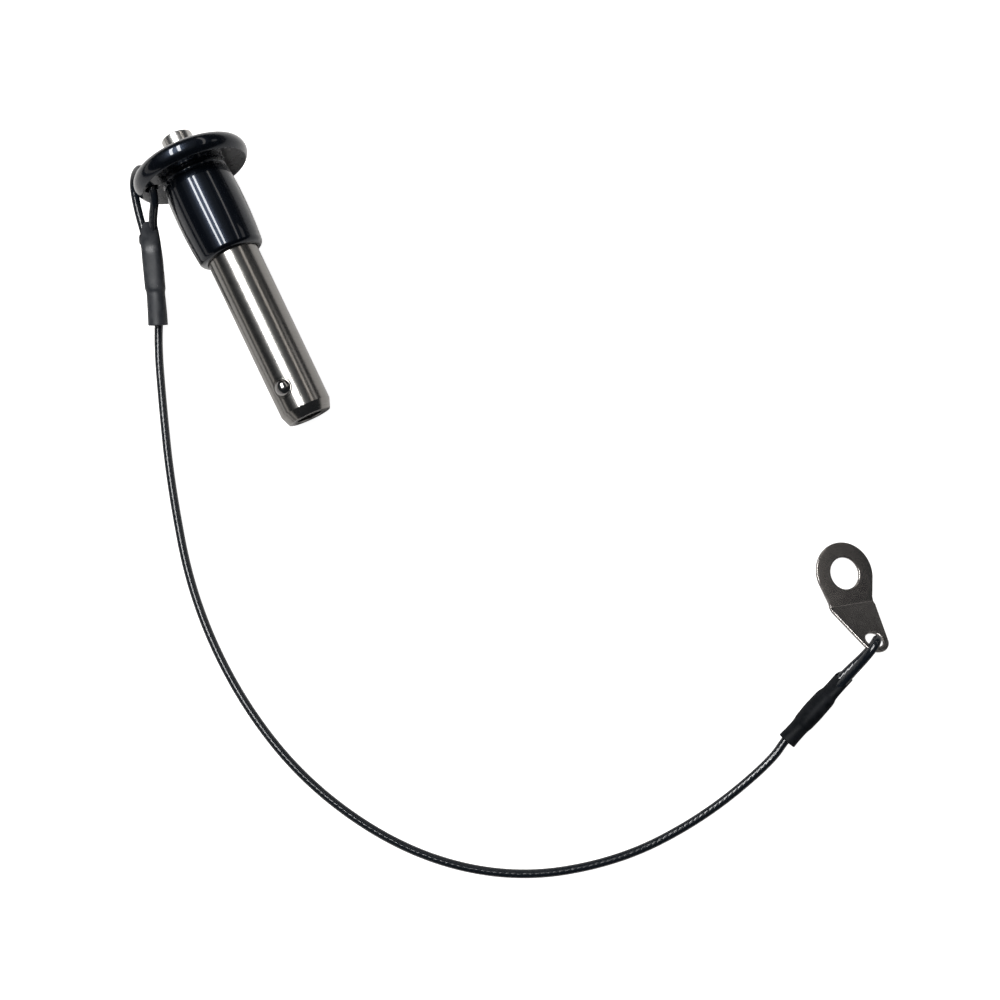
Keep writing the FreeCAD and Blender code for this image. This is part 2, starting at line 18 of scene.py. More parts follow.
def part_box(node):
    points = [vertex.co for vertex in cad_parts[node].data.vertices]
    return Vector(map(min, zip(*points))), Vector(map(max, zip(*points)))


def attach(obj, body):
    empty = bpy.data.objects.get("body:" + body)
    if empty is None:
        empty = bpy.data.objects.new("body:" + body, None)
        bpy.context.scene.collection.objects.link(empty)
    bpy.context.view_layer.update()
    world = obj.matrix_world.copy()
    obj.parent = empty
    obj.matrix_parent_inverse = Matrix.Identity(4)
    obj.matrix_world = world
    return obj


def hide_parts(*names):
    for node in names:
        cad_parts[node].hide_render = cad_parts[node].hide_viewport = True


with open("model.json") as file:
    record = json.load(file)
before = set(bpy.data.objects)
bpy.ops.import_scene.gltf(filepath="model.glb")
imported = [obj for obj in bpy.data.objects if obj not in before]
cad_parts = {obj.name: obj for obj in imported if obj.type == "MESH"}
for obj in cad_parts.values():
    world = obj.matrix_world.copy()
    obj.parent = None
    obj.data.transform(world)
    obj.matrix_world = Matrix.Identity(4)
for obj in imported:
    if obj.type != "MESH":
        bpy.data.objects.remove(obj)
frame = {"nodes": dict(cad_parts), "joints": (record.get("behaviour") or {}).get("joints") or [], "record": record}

LOG = logging.getLogger("quick_release_pin")
MM = 0.001
SHARP_DEGREES = 28.0

Colour = tuple[float, float, float]
Value = Union[float, bpy.types.NodeSocket]


class Body(Enum):
    """Bodies of the frame that pieces ride on."""

    PIN = "pin"
    PLUNGER = "plunger"
    UPPER_BALL = "upper_ball"
    LOWER_BALL = "lower_ball"
    TAB = "tab"


@dataclass(frozen=True)
class Place:
    """A set of axes in the row frame, with lengths along them in millimetres.

    Args:
        matrix: Takes a point in millimetres on these axes to the row frame in metres.
    """

    matrix: Matrix

    @classmethod
    def from_axes(cls, origin: Vector, x: Vector, y: Vector, z: Vector) -> "Place":
        """Make a place from its origin in metres and its three directions.

        Args:
            origin: Where the axes meet, in the row frame.
            x: First direction.
            y: Second direction.
            z: Third direction.

        Returns:
            The place.
        """
        turn = Matrix((x.normalized(), y.normalized(), z.normalized())).transposed()
        return cls(Matrix.Translation(origin) @ turn.to_4x4() @ Matrix.Scale(MM, 4))

    def point(self, x: float, y: float, z: float) -> Vector:
        """Return a point on these axes as a point in the row frame, in metres."""
        return self.matrix @ Vector((x, y, z))


def joint_named(name: str) -> dict[str, Any]:
    """Return the frame's joint with this name."""
    return next(j for j in frame["joints"] if j["name"] == name)


def mount_named(name: str) -> dict[str, Any]:
    """Return the record's mount with this name."""
    return next(m for m in frame["record"]["mounts"] if m["name"] == name)


@dataclass(frozen=True)
class PinAxes:
    """The pin's own axes: out of its top, towards its left, and from the handle to the nose.

    Args:
        mount_distance: How far the shank's mount lies from the flange's underside.
    """

    mount_distance: float = 37.5

    def place(self) -> Place:
        """Find the pin's axes from the frame's joint and mount.

        Returns:
            The place whose third axis runs along the pin from the flange's underside.
        """
        along = Vector(joint_named("button_press")["axis"]).normalized()
        middle = Vector(mount_named("shank")["pos_m"])
        left = Vector((0.0, -1.0, 0.0))
        origin = middle - along * self.mount_distance * MM
        return Place.from_axes(origin, left.cross(along), left, along)


class NodeSheet:
    """A node tree with short calls to add nodes and to join them."""

    COLOUR_MIX_INPUTS = (0, 6, 7)
    COLOUR_MIX_OUTPUT = 2

    def __init__(self, tree: bpy.types.NodeTree) -> None:
        """Keep the tree that nodes are added to."""
        self.tree = tree

    def add(self, kind: str, **settings: Any) -> bpy.types.Node:
        """Add a node.

        Args:
            kind: The node's type.
            settings: Values for the node's own properties.

        Returns:
            The new node.
        """
        node = self.tree.nodes.new(kind)
        for name, value in settings.items():
            setattr(node, name, value)
        return node

    def feed(self, socket: bpy.types.NodeSocket, value: Any) -> None:
        """Join another node's output to a socket, or set the socket's own value.

        Args:
            socket: The input socket.
            value: The output to join, or the value to set.
        """
        if isinstance(value, bpy.types.NodeSocket):
            self.tree.links.new(value, socket)
        else:
            socket.default_value = value

    def sum(self, operation: str, *values: Value, clamp: bool = False) -> bpy.types.NodeSocket:
        """Add a Math node.

        Args:
            operation: The node's operation.
            values: Numbers or sockets for its inputs.
            clamp: Whether the result is held between 0 and 1.

        Returns:
            The node's output.
        """
        node = self.add("ShaderNodeMath", operation=operation, use_clamp=clamp)
        for socket, value in zip(node.inputs, values):
            self.feed(socket, value)
        return node.outputs[0]

    def ramp(
        self, value: Value, low: float, high: float, to_low: float, to_high: float
    ) -> bpy.types.NodeSocket:
        """Map a value smoothly from one range to another, held at both ends.

        Args:
            value: The number or socket to map.
            low: Start of its range.
            high: End of its range.
            to_low: Result at the start.
            to_high: Result at the end.

        Returns:
            The node's output.
        """
        node = self.add("ShaderNodeMapRange", interpolation_type="SMOOTHSTEP")
        for socket, given in zip(node.inputs, (value, low, high, to_low, to_high)):
            self.feed(socket, given)
        return node.outputs[0]

    def noise(
        self, vector: bpy.types.NodeSocket, scale: float, detail: float = 2.0
    ) -> bpy.types.NodeSocket:
        """Add a noise texture.

        Args:
            vector: The coordinates that it reads.
            scale: How many lumps it has to a unit.
            detail: How many finer layers it has.

        Returns:
            Its value.
        """
        node = self.add("ShaderNodeTexNoise")
        self.feed(node.inputs["Vector"], vector)
        node.inputs["Scale"].default_value = scale
        node.inputs["Detail"].default_value = detail
        return node.outputs[0]

    def stretch(self, vector: bpy.types.NodeSocket, scale: Colour) -> bpy.types.NodeSocket:
        """Multiply a vector by fixed factors.

        Args:
            vector: The vector.
            scale: A factor for each axis.

        Returns:
            The stretched vector.
        """
        node = self.add("ShaderNodeVectorMath", operation="MULTIPLY")
        self.feed(node.inputs[0], vector)
        node.inputs[1].default_value = scale
        return node.outputs[0]

    def blend(
        self, factor: Value, first: Union[Colour, bpy.types.NodeSocket], second: Colour
    ) -> bpy.types.NodeSocket:
        """Mix two colours.

        Args:
            factor: Share of the second colour.
            first: A colour, or a socket that gives one.
            second: The other colour.

        Returns:
            The mixed colour.
        """
        node = self.add("ShaderNodeMix", data_type="RGBA")
        start = first if isinstance(first, bpy.types.NodeSocket) else (*first, 1.0)
        for index, value in zip(self.COLOUR_MIX_INPUTS, (factor, start, (*second, 1.0))):
            self.feed(node.inputs[index], value)
        return node.outputs[self.COLOUR_MIX_OUTPUT]

    def coordinates(self, place: Optional[Place] = None) -> bpy.types.NodeSocket:
        """Return Object coordinates in millimetres, on a place's axes where one is given.

        Args:
            place: The axes, or None for the row frame's own.

        Returns:
            The vector output.
        """
        source = self.add("ShaderNodeTexCoord").outputs["Object"]
        mapping = self.add("ShaderNodeMapping", vector_type="POINT")
        self.feed(mapping.inputs["Vector"], source)
        inverse = (place.matrix if place else Matrix.Scale(MM, 4)).inverted()
        mapping.inputs["Location"].default_value = inverse.to_translation()
        mapping.inputs["Rotation"].default_value = inverse.normalized().to_euler()
        mapping.inputs["Scale"].default_value = (1 / MM, 1 / MM, 1 / MM)
        return mapping.outputs[0]


def scaled(colour: Colour, factor: float) -> Colour:
    """Return a colour made lighter or darker by a factor."""
    return tuple(part * factor for part in colour)


class Effects:
    """Shared effects, each a node group with named inputs and outputs, built once."""

    TURNING_SPREAD = 0.03
    SMUDGE_DETAIL = 5.0
    SMUDGE_HARDNESS = 0.62
    SPECK_EDGE = (0.03, 0.1)

    def __init__(self) -> None:
        """Build the groups."""
        self.turning = self._turning()
        self.smudges = self._smudges()
        self.dust = self._dust()

    @staticmethod
    def _group(
        name: str, inputs: dict[str, float], output: str
    ) -> tuple[bpy.types.NodeTree, NodeSheet, bpy.types.Node, bpy.types.Node]:
        """Start a group that takes a vector and some numbers and gives one number.

        Args:
            name: The group's name.
            inputs: Name and usual value of each number.
            output: The result's name.

        Returns:
            The group, its node sheet, its input node and its output node.
        """
        tree = bpy.data.node_groups.new(name, "ShaderNodeTree")
        tree.interface.new_socket("Vector", in_out="INPUT", socket_type="NodeSocketVector")
        for label, value in inputs.items():
            socket = tree.interface.new_socket(label, in_out="INPUT", socket_type="NodeSocketFloat")
            socket.default_value = value
        tree.interface.new_socket(output, in_out="OUTPUT", socket_type="NodeSocketFloat")
        sheet = NodeSheet(tree)
        return tree, sheet, sheet.add("NodeGroupInput"), sheet.add("NodeGroupOutput")

    def _turning(self) -> bpy.types.NodeTree:
        """Make the fine rings that a cutting tool leaves round the third axis.

        Returns:
            The group.
        """
        tree, sheet, given, result = self._group("turning marks", {"Lines per mm": 9.0}, "Height")
        scale = sheet.add("ShaderNodeCombineXYZ")
        for label in ("X", "Y"):
            sheet.feed(scale.inputs[label], self.TURNING_SPREAD)
        sheet.feed(scale.inputs["Z"], given.outputs["Lines per mm"])
        rings = sheet.add("ShaderNodeVectorMath", operation="MULTIPLY")
        sheet.feed(rings.inputs[0], given.outputs["Vector"])
        sheet.feed(rings.inputs[1], scale.outputs[0])
        sheet.feed(result.inputs[0], sheet.noise(rings.outputs[0], 1.0, 3.0))
        return tree

    def _smudges(self) -> bpy.types.NodeTree:
        """Make soft cloudy patches of handling marks.

        Returns:
            The group.
        """
        tree, sheet, given, result = self._group("smudges", {"Per mm": 0.25}, "Amount")
        size = sheet.add("ShaderNodeTexNoise")
        sheet.feed(size.inputs["Vector"], given.outputs["Vector"])
        sheet.feed(size.inputs["Scale"], given.outputs["Per mm"])
        size.inputs["Detail"].default_value = self.SMUDGE_DETAIL
        size.inputs["Roughness"].default_value = self.SMUDGE_HARDNESS
        sheet.feed(result.inputs[0], sheet.ramp(size.outputs[0], 0.35, 0.7, 0.0, 1.0))
        return tree

    def _dust(self) -> bpy.types.NodeTree:
        """Make sparse pale specks.

        Returns:
            The group.
        """
        tree, sheet, given, result = self._group("dust", {"Per mm": 1.2, "Share": 0.04}, "Mask")
        cells = sheet.add("ShaderNodeTexVoronoi", feature="F1")
        sheet.feed(cells.inputs["Vector"], given.outputs["Vector"])
        sheet.feed(cells.inputs["Scale"], given.outputs["Per mm"])
        pick = sheet.add("ShaderNodeSeparateColor")
        sheet.feed(pick.inputs[0], cells.outputs["Color"])
        chosen = sheet.sum("LESS_THAN", pick.outputs[0], given.outputs["Share"])
        near = sheet.ramp(cells.outputs["Distance"], *self.SPECK_EDGE, 1.0, 0.0)
        sheet.feed(result.inputs[0], sheet.sum("MULTIPLY", chosen, near, clamp=True))
        return tree

    @staticmethod
    def use(
        sheet: NodeSheet, group: bpy.types.NodeTree, vector: bpy.types.NodeSocket, **values: float
    ) -> bpy.types.NodeSocket:
        """Place a group in a material.

        Args:
            sheet: The material's node sheet.
            group: One of the groups.
            vector: The coordinates that it reads.
            values: Its numbers, with underscores for the spaces in their names.

        Returns:
            The group's output.
        """
        node = sheet.add("ShaderNodeGroup", node_tree=group)
        sheet.feed(node.inputs["Vector"], vector)
        for name, value in values.items():
            node.inputs[name.replace("_", " ")].default_value = value
        return node.outputs[0]


def new_finish(name: str) -> tuple[bpy.types.Material, NodeSheet, bpy.types.Node]:
    """Start a material.

    Args:
        name: The material's name.

    Returns:
        The material, its node sheet and its Principled shader.
    """
    material = bpy.data.materials.new(name)
    material.use_nodes = True
    sheet = NodeSheet(material.node_tree)
    return material, sheet, material.node_tree.nodes["Principled BSDF"]


def bump(
    sheet: NodeSheet, shader: bpy.types.Node, height: bpy.types.NodeSocket, depth: float
) -> None:
    """Join a height in millimetres to a shader's normal.

    Args:
        sheet: The material's node sheet.
        shader: The Principled shader.
        height: The height.
        depth: What a height of 1 stands for, in millimetres.
    """
    node = sheet.add("ShaderNodeBump")
    node.inputs["Strength"].default_value = 1.0
    node.inputs["Distance"].default_value = depth * MM
    sheet.feed(node.inputs["Height"], height)
    sheet.feed(shader.inputs["Normal"], node.outputs[0])


@dataclass(frozen=True)
class BlackAnodising:
    """Glossy black anodised aluminium with a soft blue sheen under the clear layer.

    Args:
        colour: Colour of the sheen.
        dusty: Colour of a speck of dust.
        metal_share: How metallic the sheen is.
        sheen_roughness: Roughness of the sheen, clean and smudged.
        clear_roughness: Roughness of the clear layer.
        clear_ior: Refraction of the clear layer.
        line_depth: Depth of the turning marks, in millimetres.
    """

    colour: Colour = (0.005, 0.008, 0.014)
    dusty: Colour = (0.30, 0.30, 0.30)
    metal_share: float = 0.85
    sheen_roughness: tuple[float, float] = (0.26, 0.28)
    clear_roughness: float = 0.03
    clear_ior: float = 1.4
    line_depth: float = 0.0004

    def make(self, effects: Effects, place: Place) -> bpy.types.Material:
        """Make the material.

        Args:
            effects: The shared effects.
            place: Axes whose third one the turning marks go round.

        Returns:
            The material.
        """
        material, sheet, shader = new_finish("black_anodised")
        spot = sheet.coordinates(place)
        dust = effects.use(sheet, effects.dust, spot, Per_mm=1.1, Share=0.03)
        smudge = effects.use(sheet, effects.smudges, spot, Per_mm=0.35)
        sheet.feed(shader.inputs["Base Color"], sheet.blend(dust, self.colour, self.dusty))
        sheet.feed(shader.inputs["Roughness"], sheet.ramp(smudge, 0.0, 1.0, *self.sheen_roughness))
        shader.inputs["Metallic"].default_value = self.metal_share
        sheet.feed(shader.inputs["Coat Weight"], sheet.ramp(dust, 0.0, 1.0, 1.0, 0.2))
        shader.inputs["Coat Roughness"].default_value = self.clear_roughness
        shader.inputs["Coat IOR"].default_value = self.clear_ior
        rings = effects.use(sheet, effects.turning, spot, Lines_per_mm=7.0)
        bump(sheet, shader, rings, self.line_depth)
        return material


@dataclass(frozen=True)
class StakedRingAndShade:
    """The faint ring that staking leaves round each ball: a shallow groove, with painted shade laid along it.

    Args:
        ball_distance: Where the balls lie along the pin.
        ball_angle: How far the balls are turned from the top of the pin.
        radius: Radius of the ring's middle.
        half_width: Half the ring's width.
        darkening: How much of the steel's own colour the painted shade hides.
        colour: Colour of the painted shade.
        depth: How deep it is, as a multiple of the turning marks.
    """

    ball_distance: float = 56.36
    ball_angle: float = 25.0
    radius: float = 2.36
    half_width: float = 0.17
    darkening: float = 0.85
    colour: Colour = (0.03, 0.03, 0.03)
    depth: float = 30.0

    def mask(self, sheet: NodeSheet, spot: bpy.types.NodeSocket) -> bpy.types.NodeSocket:
        """Add the nodes that find the ring.

        Args:
            sheet: The material's node sheet.
            spot: Coordinates on the pin's axes.

        Returns:
            A mask that is 1 along the ring's middle.
        """
        parts = sheet.add("ShaderNodeSeparateXYZ")
        sheet.feed(parts.inputs[0], spot)
        turn = math.radians(self.ball_angle)
        across = sheet.sum(
            "SUBTRACT",
            sheet.sum("MULTIPLY", parts.outputs["Y"], math.cos(turn)),
            sheet.sum("MULTIPLY", parts.outputs["X"], math.sin(turn)),
        )
        along = sheet.sum("SUBTRACT", parts.outputs["Z"], self.ball_distance)
        squares = [sheet.sum("POWER", way, 2.0) for way in (across, along)]
        reach = sheet.sum("SQRT", sheet.sum("ADD", *squares))
        off = sheet.sum("ABSOLUTE", sheet.sum("SUBTRACT", reach, self.radius))
        return sheet.ramp(off, 0.0, self.half_width, 1.0, 0.0)


@dataclass(frozen=True)
class TurnedSteel:
    """Stainless steel with fine rings round the pin's axis.

    Args:
        name: The material's name.
        colour: Its colour.
        roughness: Its roughness where it is cleanest.
        lines_per_mm: How fine the rings are.
        line_depth: How deep they are, in millimetres.
        staked: The staking grooves round the balls, with their painted shade, or None.
    """

    name: str
    colour: Colour
    roughness: float
    lines_per_mm: float = 9.0
    line_depth: float = 0.0012
    staked: Optional[StakedRingAndShade] = None

    SMUDGED = 0.02
    GRAIN_ROUGHNESS = 0.01
    GRAIN_HEIGHT = 0.15
    LINE_SHADE = 0.72

    def make(self, effects: Effects, place: Place) -> bpy.types.Material:
        """Make the material.

        Args:
            effects: The shared effects.
            place: Axes whose third one the rings go round.

        Returns:
            The material.
        """
        material, sheet, shader = new_finish(self.name)
        spot = sheet.coordinates(place)
        smudge = effects.use(sheet, effects.smudges, spot, Per_mm=0.5)
        rings = effects.use(sheet, effects.turning, spot, Lines_per_mm=self.lines_per_mm)
        grain = sheet.noise(spot, 5.0, 3.0)
        rough = sheet.ramp(smudge, 0.0, 1.0, self.roughness, self.roughness + self.SMUDGED)
        rough = sheet.sum("ADD", rough, sheet.sum("MULTIPLY", grain, self.GRAIN_ROUGHNESS))
        sheet.feed(shader.inputs["Roughness"], rough)
        lines = sheet.ramp(rings, 0.3, 0.7, 0.0, 0.6)
        shade = sheet.blend(lines, self.colour, scaled(self.colour, self.LINE_SHADE))
        height = sheet.sum("ADD", rings, sheet.sum("MULTIPLY", grain, self.GRAIN_HEIGHT))
        if self.staked:
            # Staking ring: a shallow groove in the bump, and painted shade that darkens the colour along it.
            ring = self.staked.mask(sheet, spot)
            hidden = sheet.sum("MULTIPLY", ring, self.staked.darkening)
            shade = sheet.blend(hidden, shade, self.staked.colour)
            height = sheet.sum("SUBTRACT", height, sheet.sum("MULTIPLY", ring, self.staked.depth))
        sheet.feed(shader.inputs["Base Color"], shade)
        shader.inputs["Metallic"].default_value = 1.0
        bump(sheet, shader, height, self.line_depth)
        return material


@dataclass(frozen=True)
class SheetSteel:
    """Tumbled stainless sheet: a dull face with fine scratches.

    Args:
        colour: Its colour.
        roughness: Its roughness, clean and smudged.
        speckle_shade: How dark its speckles are.
        scratch_depth: Depth of its scratches, in millimetres.
    """

    colour: Colour = (0.37, 0.35, 0.335)
    roughness: tuple[float, float] = (0.22, 0.25)
    speckle_shade: float = 0.93
    scratch_depth: float = 0.0008

    def make(self, effects: Effects) -> bpy.types.Material:
        """Make the material.

        Args:
            effects: The shared effects.

        Returns:
            The material.
        """
        material, sheet, shader = new_finish("tumbled_sheet_steel")
        spot = sheet.coordinates()
        smudge = effects.use(sheet, effects.smudges, spot, Per_mm=0.6)
        speckle = sheet.noise(spot, 3.5, 4.0)
        scratches = sheet.noise(sheet.stretch(spot, (0.35, 3.0, 3.0)), 2.0, 3.0)
        sheet.feed(shader.inputs["Roughness"], sheet.ramp(smudge, 0.0, 1.0, *self.roughness))
        spots = sheet.ramp(speckle, 0.4, 0.65, 0.0, 1.0)
        shade = sheet.blend(spots, self.colour, scaled(self.colour, self.speckle_shade))
        sheet.feed(shader.inputs["Base Color"], shade)
        shader.inputs["Metallic"].default_value = 1.0
        bump(sheet, shader, sheet.sum("ADD", speckle, scratches), self.scratch_depth)
        return material


@dataclass(frozen=True)
class MirrorSteel:
    """Hardened bearing steel, polished like a mirror.

    Args:
        colour: Its colour.
        dulled: Its colour where it is smudged.
        roughness: Its roughness, clean and smudged.
    """

    colour: Colour = (0.36, 0.355, 0.35)
    dulled: Colour = (0.3, 0.295, 0.29)
    roughness: tuple[float, float] = (0.03, 0.09)

    def make(self, effects: Effects) -> bpy.types.Material:
        """Make the material.

        Args:
            effects: The shared effects.

        Returns:
            The material.
        """
        material, sheet, shader = new_finish("bearing_ball_steel")
        smudge = effects.use(sheet, effects.smudges, sheet.coordinates(), Per_mm=1.5)
        sheet.feed(shader.inputs["Roughness"], sheet.ramp(smudge, 0.0, 1.0, *self.roughness))
        sheet.feed(shader.inputs["Base Color"], sheet.blend(smudge, self.colour, self.dulled))
        shader.inputs["Metallic"].default_value = 1.0
        return material


@dataclass(frozen=True)
class CableCoat:
    """Thin glossy black coat that shows the twisted strands under it.

    Args:
        strands: Outer strands of the rope.
        lay: Length in which a strand goes once round, in millimetres.
        depth: Height of the strands under the coat, in millimetres.
        colour: The coat's colour.
        dusty: Colour of a speck of dust.
        roughness: The coat's roughness, from its glossiest to its dullest.
        ior: The coat's refraction.
    """

    strands: int = 6
    lay: float = 8.4
    depth: float = 0.013
    colour: Colour = (0.004, 0.006, 0.009)
    dusty: Colour = (0.2, 0.2, 0.2)
    roughness: tuple[float, float] = (0.12, 0.2)
    ior: float = 1.55

    def make(self, effects: Effects) -> bpy.types.Material:
        """Make the material.

        Args:
            effects: The shared effects.

        Returns:
            The material.
        """
        material, sheet, shader = new_finish("black_cable_coat")
        where = sheet.add("ShaderNodeUVMap", uv_map=LanyardCable.UV_NAME)
        parts = sheet.add("ShaderNodeSeparateXYZ")
        sheet.feed(parts.inputs[0], where.outputs[0])
        turns = sheet.sum("DIVIDE", parts.outputs["X"], self.lay)
        turned = sheet.sum("ADD", turns, parts.outputs["Y"])
        phase = sheet.sum("MULTIPLY", turned, math.tau * self.strands)
        wave = sheet.sum("MULTIPLY_ADD", sheet.sum("SINE", phase), 0.5, 0.5)
        strand = sheet.sum("POWER", wave, 0.6)
        spot = sheet.coordinates()
        dust = effects.use(sheet, effects.dust, spot, Per_mm=1.6, Share=0.02)
        sheet.feed(shader.inputs["Base Color"], sheet.blend(dust, self.colour, self.dusty))
        rough = sheet.ramp(sheet.noise(spot, 1.5), 0.3, 0.7, *self.roughness)
        sheet.feed(shader.inputs["Roughness"], rough)
        shader.inputs["IOR"].default_value = self.ior
        bump(sheet, shader, strand, self.depth)
        return material


@dataclass(frozen=True)
class ShrunkTubing:
    """Matt heat-shrunk tubing with a faint fine grain.

    Args:
        colour: Its colour.
        rubbed: Its colour where it is rubbed.
        gloss: Strength of its reflections.
        name: The material's name.
        dusty: Colour of a speck of dust.
        roughness: Its roughness, clean and rubbed.
        grain_depth: Depth of its grain, in millimetres.
    """

    colour: Colour = (0.011, 0.013, 0.017)
    rubbed: Colour = (0.022, 0.024, 0.028)
    gloss: float = 0.5
    name: str = "charcoal_shrink_tubing"
    dusty: Colour = (0.3, 0.3, 0.3)
    roughness: tuple[float, float] = (0.42, 0.56)
    grain_depth: float = 0.012

    def make(self, effects: Effects) -> bpy.types.Material:
        """Make the material.

        Args:
            effects: The shared effects.

        Returns:
            The material.
        """
        material, sheet, shader = new_finish(self.name)
        shader.inputs["Specular IOR Level"].default_value = self.gloss
        spot = sheet.coordinates()
        smudge = effects.use(sheet, effects.smudges, spot, Per_mm=0.45)
        dust = effects.use(sheet, effects.dust, spot, Per_mm=1.4, Share=0.03)
        worn = sheet.blend(smudge, self.colour, self.rubbed)
        sheet.feed(shader.inputs["Base Color"], sheet.blend(dust, worn, self.dusty))
        sheet.feed(shader.inputs["Roughness"], sheet.ramp(smudge, 0.0, 1.0, *self.roughness))
        lumps = sheet.sum("MULTIPLY", sheet.noise(spot, 1.2), 2.0)
        grain = sheet.sum("ADD", sheet.noise(spot, 6.0, 3.0), lumps)
        bump(sheet, shader, grain, self.grain_depth)
        return material


@dataclass(frozen=True)
class PlainMetal:
    """Crimped or drawn metal that is mostly hidden.

    Args:
        name: The material's name.
        colour: Its colour.
        roughness: Its roughness.
    """

    name: str
    colour: Colour
    roughness: float

    SMUDGED = 0.12
    SMUDGE_SHADE = 0.8
    DENT_DEPTH = 0.006

    def make(self, effects: Effects) -> bpy.types.Material:
        """Make the material.

        Args:
            effects: The shared effects.

        Returns:
            The material.
        """
        material, sheet, shader = new_finish(self.name)
        spot = sheet.coordinates()
        smudge = effects.use(sheet, effects.smudges, spot, Per_mm=0.8)
        shade = sheet.blend(smudge, self.colour, scaled(self.colour, self.SMUDGE_SHADE))
        sheet.feed(shader.inputs["Base Color"], shade)
        rough = sheet.ramp(smudge, 0.0, 1.0, self.roughness, self.roughness + self.SMUDGED)
        sheet.feed(shader.inputs["Roughness"], rough)
        shader.inputs["Metallic"].default_value = 1.0
        bump(sheet, shader, sheet.noise(spot, 4.0), self.DENT_DEPTH)
        return material


class TurnedOutline:
    """Half outline of a turned piece, in millimetres, as distances along the axis and radii."""

    def __init__(self) -> None:
        """Start with no points."""
        self.corners: list[tuple[float, float, float]] = []

    def to(self, distance: float, radius: float, rounding: float = 0.0) -> "TurnedOutline":
        """Add a corner.

        Args:
            distance: Distance along the axis.
            radius: Distance from the axis.
            rounding: Radius that breaks the corner.

        Returns:
            The outline.
        """
        self.corners.append((distance, radius, rounding))
        return self

    def arc(
        self, distance: float, radius: float, size: float, start: float, end: float, steps: int
    ) -> "TurnedOutline":
        """Add an arc round a centre, from one angle to another.

        Args:
            distance: The centre's distance along the axis.
            radius: The centre's distance from the axis.
            size: The arc's radius.
            start: First angle in degrees, from 0 pointing outwards to 90 pointing along the axis.
            end: Last angle in degrees.
            steps: Number of straight steps.

        Returns:
            The outline.
        """
        for i in range(steps + 1):
            angle = math.radians(start + (end - start) * i / steps)
            self.to(distance + size * math.sin(angle), radius + size * math.cos(angle))
        return self

    def barrel(
        self,
        first: tuple[float, float],
        middle: tuple[float, float],
        last: tuple[float, float],
        steps: int,
    ) -> "TurnedOutline":
        """Add a gentle arc through three points.

        Args:
            first: Distance along the axis and radius where it starts.
            middle: The same for a point on its way.
            last: The same for its end.
            steps: Number of straight steps.

        Returns:
            The outline.
        """
        a, b, c = Vector(first), Vector(middle), Vector(last)
        ab, bc = b - a, c - b
        across = 2.0 * (ab.x * bc.y - ab.y * bc.x)
        p = (b.length_squared - a.length_squared) / across
        q = (c.length_squared - b.length_squared) / across
        centre = Vector((p * bc.y - q * ab.y, q * ab.x - p * bc.x))
        size = (a - centre).length
        start = math.degrees(math.atan2(a.x - centre.x, a.y - centre.y))
        end = math.degrees(math.atan2(c.x - centre.x, c.y - centre.y))
        return self.arc(centre.x, centre.y, size, start, end, steps)

    def points(self, round_steps: int = 5) -> list[Vector]:
        """Round the corners.

        Args:
            round_steps: Number of straight steps in a rounded corner.

        Returns:
            The outline as points in the XZ plane.
        """
        result: list[Vector] = []
        count = len(self.corners)
        for i, (distance, radius, rounding) in enumerate(self.corners):
            here = Vector((radius, 0.0, distance))
            if not rounding:
                result.append(here)
                continue
            before, after = self.corners[i - 1], self.corners[(i + 1) % count]
            back = (Vector((before[1], 0.0, before[0])) - here).normalized()
            ahead = (Vector((after[1], 0.0, after[0])) - here).normalized()
            half = back.angle(ahead) / 2.0
            start = here + back * rounding / math.tan(half)
            end = here + ahead * rounding / math.tan(half)
            centre = here + (back + ahead).normalized() * rounding / math.sin(half)
            for k in range(round_steps + 1):
                share = k / round_steps
                spoke = (start - centre).slerp(end - centre, share)
                result.append(centre + spoke.normalized() * rounding)
        return result


def finished_piece(
    name: str, bm: bmesh.types.BMesh, place: Optional[Place], sharp: float = SHARP_DEGREES
) -> bpy.types.Object:
    """Turn a bmesh into a smooth shaded object at the origin.

    Args:
        name: The piece's name.
        bm: The shape, which is freed.
        place: The axes it was made on, or None for the row frame in metres.
        sharp: Edges that turn by more than this many degrees stay crisp.

    Returns:
        The new object.
    """
    if place:
        bmesh.ops.transform(bm, matrix=place.matrix, verts=bm.verts)
        if place.matrix.is_negative:
            bmesh.ops.reverse_faces(bm, faces=bm.faces)
    mesh = bpy.data.meshes.new(name)
    bm.to_mesh(mesh)
    bm.free()
    for face in mesh.polygons:
        face.use_smooth = True
    mesh.set_sharp_from_angle(angle=math.radians(sharp))
    piece = bpy.data.objects.new(name, mesh)
    bpy.context.scene.collection.objects.link(piece)
    return piece


def apply_modifiers(piece: bpy.types.Object) -> None:
    """Give a piece the mesh that its modifiers make, and take them off.

    Args:
        piece: The piece.
    """
    graph = bpy.context.evaluated_depsgraph_get()
    mesh = bpy.data.meshes.new_from_object(piece.evaluated_get(graph))
    piece.modifiers.clear()
    piece.data = mesh


def even_shading(piece: bpy.types.Object) -> None:
    """Weight the normals by face size, so that flat and round stretches both reflect cleanly.

    Args:
        piece: The piece.
    """
    weighted = piece.modifiers.new("even shading", "WEIGHTED_NORMAL")
    weighted.keep_sharp = True
    apply_modifiers(piece)


def carve(
    piece: bpy.types.Object, cutters: Sequence[bpy.types.Object], sharp: float = SHARP_DEGREES
) -> None:
    """Cut shapes out of a piece, and remove them.

    Args:
        piece: The piece to cut.
        cutters: The shapes to take away.
        sharp: Edges that turn by more than this many degrees stay crisp.
    """
    for cutter in cutters:
        cut = piece.modifiers.new("cut", "BOOLEAN")
        cut.operation = "DIFFERENCE"
        cut.solver = "EXACT"
        cut.object = cutter
        apply_modifiers(piece)
        bpy.data.objects.remove(cutter)
    for face in piece.data.polygons:
        face.use_smooth = True
    piece.data.set_sharp_from_angle(angle=math.radians(sharp))


